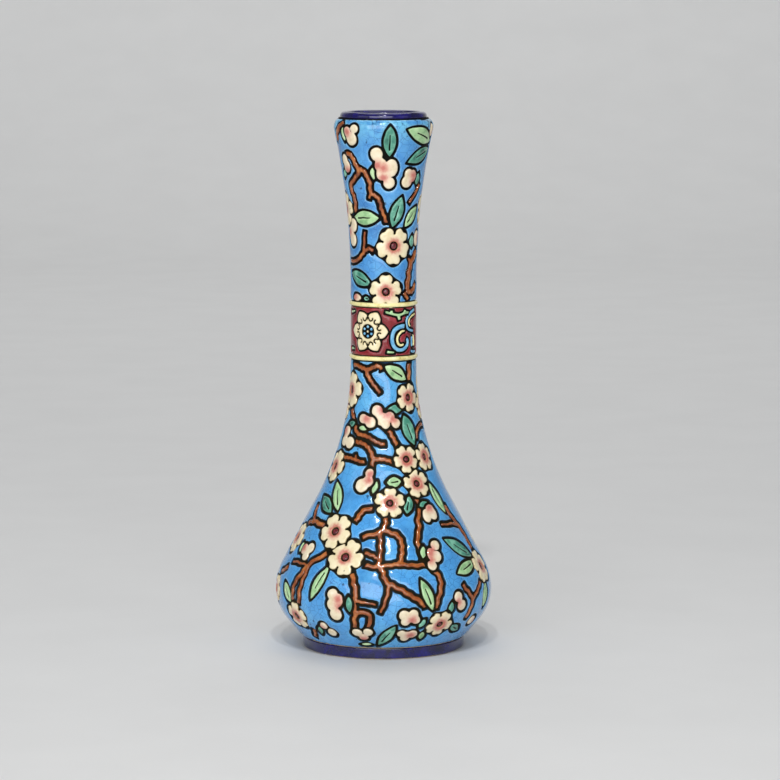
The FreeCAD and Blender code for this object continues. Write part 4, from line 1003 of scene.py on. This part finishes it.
print_out = wall_profile(ENAMEL, PRINT_BOTTOM, CHEEK_TOP, 150) + [(20.0, SHELF_Z - 0.03), (SHELF_R, SHELF_Z)]
print_in = wall_profile(ENAMEL + FILM, PRINT_BOTTOM, CHEEK_TOP - 0.1, 60) + [(SHELF_R, SHELF_Z - FILM)]
turned("outline_print_skin", print_out + print_in[::-1], "outline_print", "outline_print", 300)

foot = [(STAND_IN, 0.0), (STAND_OUT, 0.0), (CLAY_FOOT_R - 0.15, 0.18), (CLAY_FOOT_R, 0.6), (CLAY_FOOT_R, 4.3),
        (CLAY_FOOT_R, 4.9)]
wall_out = wall_profile(ENAMEL + FILM, 5.0, CHEEK_TOP, 90)
lip_clay = arc_points(LIP_R, LIP_Z, LIP_ROLL - LIP_GLAZE, -30, 205, 16)
wall_in = wall_profile(WALL, INSIDE_LOW, INSIDE_HIGH, 90)
floor_in = [(HOLLOW_R, FLOOR_TOP), (AXIS_R, FLOOR_TOP), (AXIS_R, FLOOR_UNDER), (HOLLOW_R, FLOOR_UNDER),
            (HOLLOW_R + 0.6, FLOOR_UNDER - 0.4), (STAND_IN - 0.5, STAND_ROUND)]
turned("clay_body", foot + wall_out + lip_clay + wall_in[::-1] + floor_in, "bare_faience", "faience_body")

lining_out = [(AXIS_R, FLOOR_TOP - 0.1), (HOLLOW_R + 0.2, FLOOR_TOP - 0.1)] \
    + wall_profile(WALL - OVERLAP, INSIDE_LOW, INSIDE_HIGH, 90) + [(MOUTH_R, MOUTH_Z)]
lining_in = [(AXIS_R, FLOOR_TOP + 0.3), (26.0, FLOOR_TOP + 0.3), (30.6, FLOOR_TOP + 0.6)] \
    + wall_profile(WALL + 0.3, INSIDE_LOW + 0.2, INSIDE_HIGH, 90) + [(MOUTH_R - 0.25, MOUTH_Z)]
turned("inside_glaze", lining_out + lining_in[::-1], "clear_glaze", "interior_glaze", 200)

base_pool = [(AXIS_R, 2.6), (24.0, 2.6), (29.5, 2.5), (31.2, 1.9), (31.3, FLOOR_UNDER),
             (AXIS_R, FLOOR_UNDER + OVERLAP)]
turned("base_glaze_pool", base_pool, "clear_glaze", "base_glaze", 200, soft_ripple(0.04, 9))

cobalt_foot = [(35.7, 0.45)] + arc_points(FOOT_R - 0.4, 0.75, 0.4, 200, 340, 7) \
    + [(FOOT_R, 1.5), (FOOT_R, 3.9)] + arc_points(FOOT_R - 0.45, 4.55, 0.5, 0, 130, 8) + [(35.6, 4.95)]
turned("cobalt_foot", cobalt_foot, "cobalt_glaze", "foot_glaze", 300, soft_ripple(0.06, 7))

lip_out = arc_points(LIP_R, LIP_Z, LIP_ROLL, -48, 205, 28)
lip_in = arc_points(LIP_R, LIP_Z, LIP_ROLL - LIP_GLAZE - OVERLAP, -48, 205, 12)
turned("cobalt_lip", lip_out + lip_in[::-1], "cobalt_glaze", "lip_glaze", 260, soft_ripple(0.05, 8))

bead_back = NECK_R - ENAMEL - OVERLAP
for label, middle in BEADS.items():
    bead = [(bead_back, middle - 1.0)] + arc_points(NECK_R - 0.42, middle, 0.95, -75, 75, 12) \
        + [(bead_back, middle + 1.0)]
    turned("cream_bead_" + label, bead, "cream_enamel", label + "_bead", 240, soft_ripple(0.10, 6))

# ------------ enamel on the wall

CELLS = [
    ("blossom_enamel", "blossom_petals", "petal_enamel", dict(spacing=0.62, height=0.62, swell=0.12)),
    ("blossom_hearts", "blossom_centres", "maroon_enamel", dict(spacing=0.5, height=0.5, waver=0.03)),
    ("bud_enamel_cells", "bud_petals", "bud_enamel", dict(spacing=0.62, height=0.62, swell=0.12)),
    ("calyx_light_cells", "calyxes_light", "light_green_enamel", dict(height=0.55)),
    ("calyx_dark_cells", "calyxes_dark", "teal_enamel", dict(height=0.55)),
    ("leaf_light_cells", "leaves_light", "light_green_enamel", dict(spacing=0.6, rounds=2)),
    ("leaf_dark_cells", "leaves_dark", "teal_enamel", dict(spacing=0.6, rounds=2)),
    ("twig_cells", "branches", "brown_enamel", dict(spacing=0.55, height=0.66, swell=0.14)),
    ("rosette_cells", "band_rosettes", "petal_enamel",
     dict(height=0.5, spacing=0.34, step=0.18, rounds=1, waver=0.04, rim=0.5)),
    ("rosette_dot_cells", "band_rosette_dots", "pale_blue_enamel", dict(height=0.45, waver=0.03)),
    ("scroll_blue_cells", "band_scrolls_blue", "pale_blue_enamel", dict(height=0.5, waver=0.05)),
    ("scroll_cream_cells", "band_scrolls_cream", "cream_enamel", dict(height=0.5, waver=0.05)),
    ("sprig_cells", "band_sprigs", "light_green_enamel", dict(height=0.5, waver=0.05)),
    ("band_ground_enamel", "band_ground", "red_enamel", dict(seam=True, spacing=0.6, height=0.5, waver=0.04)),
    ("neck_ground_enamel", "neck_ground", "blue_enamel",
     dict(seam=True, spacing=0.75, step=0.35, waver=0.05)),
    ("body_ground_enamel", "body_ground", "blue_enamel",
     dict(seam=True, spacing=0.96, step=0.47, waver=0.05)),
]
MADE = {name: enamel_piece(name, node, slot_name, **options) for name, node, slot_name, options in CELLS}


def spot(angle, run):
    """A point on the enamel, in metres."""
    return on_wall(np.array([angle]), np.array([run]), 0)[0] * 0.001


def mark_heart(piece, middles):
    """Mark each point of a piece with its distance in millimetres from the nearest middle."""
    gaps = np.linalg.norm(points_of(piece.data)[:, None, :] - np.array(middles)[None], axis=2)
    mark_points(piece.data, "heart", np.min(gaps, axis=1) * 1000)


FAR_AWAY = (0, 0, 1)    # a metre up, so the rosettes' petals stay cream to the middle

# Pink throats of the buds and half-open blossoms, as degrees from the front and height.
THROATS = [
    (-48, 231.5), (0, 216.0), (0, 211.5), (-8, 217), (46, 212.5), (47, 210), (-58, 214), (-72, 187),
    (84, 231), (79, 184), (-60, 158.5), (-26.5, 104.5), (-3, 108.5), (6, 106.5), (14, 104.5), (-68, 98.2),
    (-15, 78.5), (-14, 80.5), (41, 66.0), (30.5, 47.5), (29.5, 45), (32, 49), (-61, 47.5), (-24, 28.5),
    (-23.5, 25.5), (43, 25.5), (15.5, 19.5), (16, 12), (-12, 10.0), (-38, 14), (63, 15),
]
throats = [spot(math.radians(angle) + turn, run_at(height))
           for turn in (0, math.pi) for angle, height in THROATS]
mark_heart(MADE["blossom_enamel"], [spot(*loops[0].mean(0)) for loops in outer_loops("blossom_centres")])
mark_heart(MADE["bud_enamel_cells"], throats)
mark_heart(MADE["rosette_cells"], [FAR_AWAY])

# ------------ floor, lights and camera

FLOOR_GREY = (0.72, 0.72, 0.71)
FLOOR_HALF, FLOOR_FRONT, FLOOR_BACK = 6.0, -7.0, 2.0    # half its width, and the ends of its flat part
BEND_R, BEND_STEPS, BACKDROP_TOP = 1.2, 13, 3.0         # the bend up behind the vase, and the top


def paint_floor():
    p = Paint("floor_paper", roughness=0.6, coat=0.0)
    darker = tuple(v * 0.97 for v in FLOOR_GREY)
    return p.finish(p.mix(p.map(p.noise(60, 2), 0.2, 0.8), FLOOR_GREY, darker))


def studio_floor():
    """A sheet that lies flat under the vase and bends up behind it."""
    bend = [(FLOOR_BACK + BEND_R * math.sin(a), BEND_R * (1 - math.cos(a)))
            for a in np.linspace(0, math.pi / 2, BEND_STEPS)]
    rows = [(FLOOR_FRONT, 0.0)] + bend + [(FLOOR_BACK + BEND_R, BACKDROP_TOP)]
    verts = [(x, y, z) for y, z in rows for x in (-FLOOR_HALF, FLOOR_HALF)]
    faces = [(2 * i, 2 * i + 1, 2 * i + 3, 2 * i + 2) for i in range(len(rows) - 1)]
    mesh = bpy.data.meshes.new("studio_floor")
    mesh.from_pydata(verts, [], faces)
    mesh.polygons.foreach_set("use_smooth", [True] * len(mesh.polygons))
    mesh.materials.append(paint_floor())
    floor = bpy.data.objects.new("studio_floor", mesh)
    bpy.context.scene.collection.objects.link(floor)
    return floor


floor = studio_floor()


def aim(thing, place, target):
    """Put a lamp or camera in the scene at a place, pointing at a target."""
    bpy.context.scene.collection.objects.link(thing)
    thing.location = place
    thing.rotation_euler = (Vector(target) - Vector(place)).to_track_quat("-Z", "Y").to_euler()


def area_light(name, place, target, width, height, power):
    data = bpy.data.lights.new(name, "AREA")
    data.shape = "RECTANGLE"
    data.size = width
    data.size_y = height
    data.energy = power
    aim(bpy.data.objects.new(name, data), place, target)


# Name, place, target, width, height and power in watts.  The two small keys give the twin highlights.
LIGHTS = [
    ("key_left", (-0.11, -0.95, 1.12), (0, 0, 0.1), 0.05, 0.06, 3.8),
    ("key_right", (0.08, -0.95, 1.12), (0, 0, 0.1), 0.05, 0.06, 3.8),
    ("front", (-0.35, -2.6, 0.85), (0, 0, 0.1), 3.2, 1.7, 49.0),
    ("fill_left", (-1.4, -0.9, 0.7), (0, 0, 0.12), 0.9, 0.9, 1.6),
    ("fill_right", (1.4, -1.0, 0.6), (0, 0, 0.12), 0.9, 0.9, 1.0),
    ("top", (0.0, 0.3, 1.8), (0, 0, 0.1), 1.4, 1.4, 6.0),
    ("backdrop", (0.0, 1.3, 2.4), (0, 3.1, 0.9), 2.4, 0.8, 30.0),
]
WORLD_COLOUR, WORLD_STRENGTH = (0.9, 0.93, 1.0, 1), 0.2
CAMERA_PLACE, CAMERA_TARGET = (0.0, -1.4531, 0.2939), (0, 0, 0.1155)
SENSOR_MM, LENS_MM, SHIFT = 36.0, 150.8, 0.0083

for light in LIGHTS:
    area_light(*light)
world = bpy.data.worlds.new("studio")
world.use_nodes = True
background = world.node_tree.nodes["Background"]
background.inputs[0].default_value = WORLD_COLOUR
background.inputs[1].default_value = WORLD_STRENGTH
bpy.context.scene.world = world
bpy.context.scene.view_settings.view_transform = "Standard"

camera_data = bpy.data.cameras.new("camera")
camera_data.sensor_width = SENSOR_MM
camera_data.lens = LENS_MM
camera_data.shift_x = SHIFT
camera = bpy.data.objects.new("camera", camera_data)
aim(camera, CAMERA_PLACE, CAMERA_TARGET)
bpy.context.scene.camera = camera
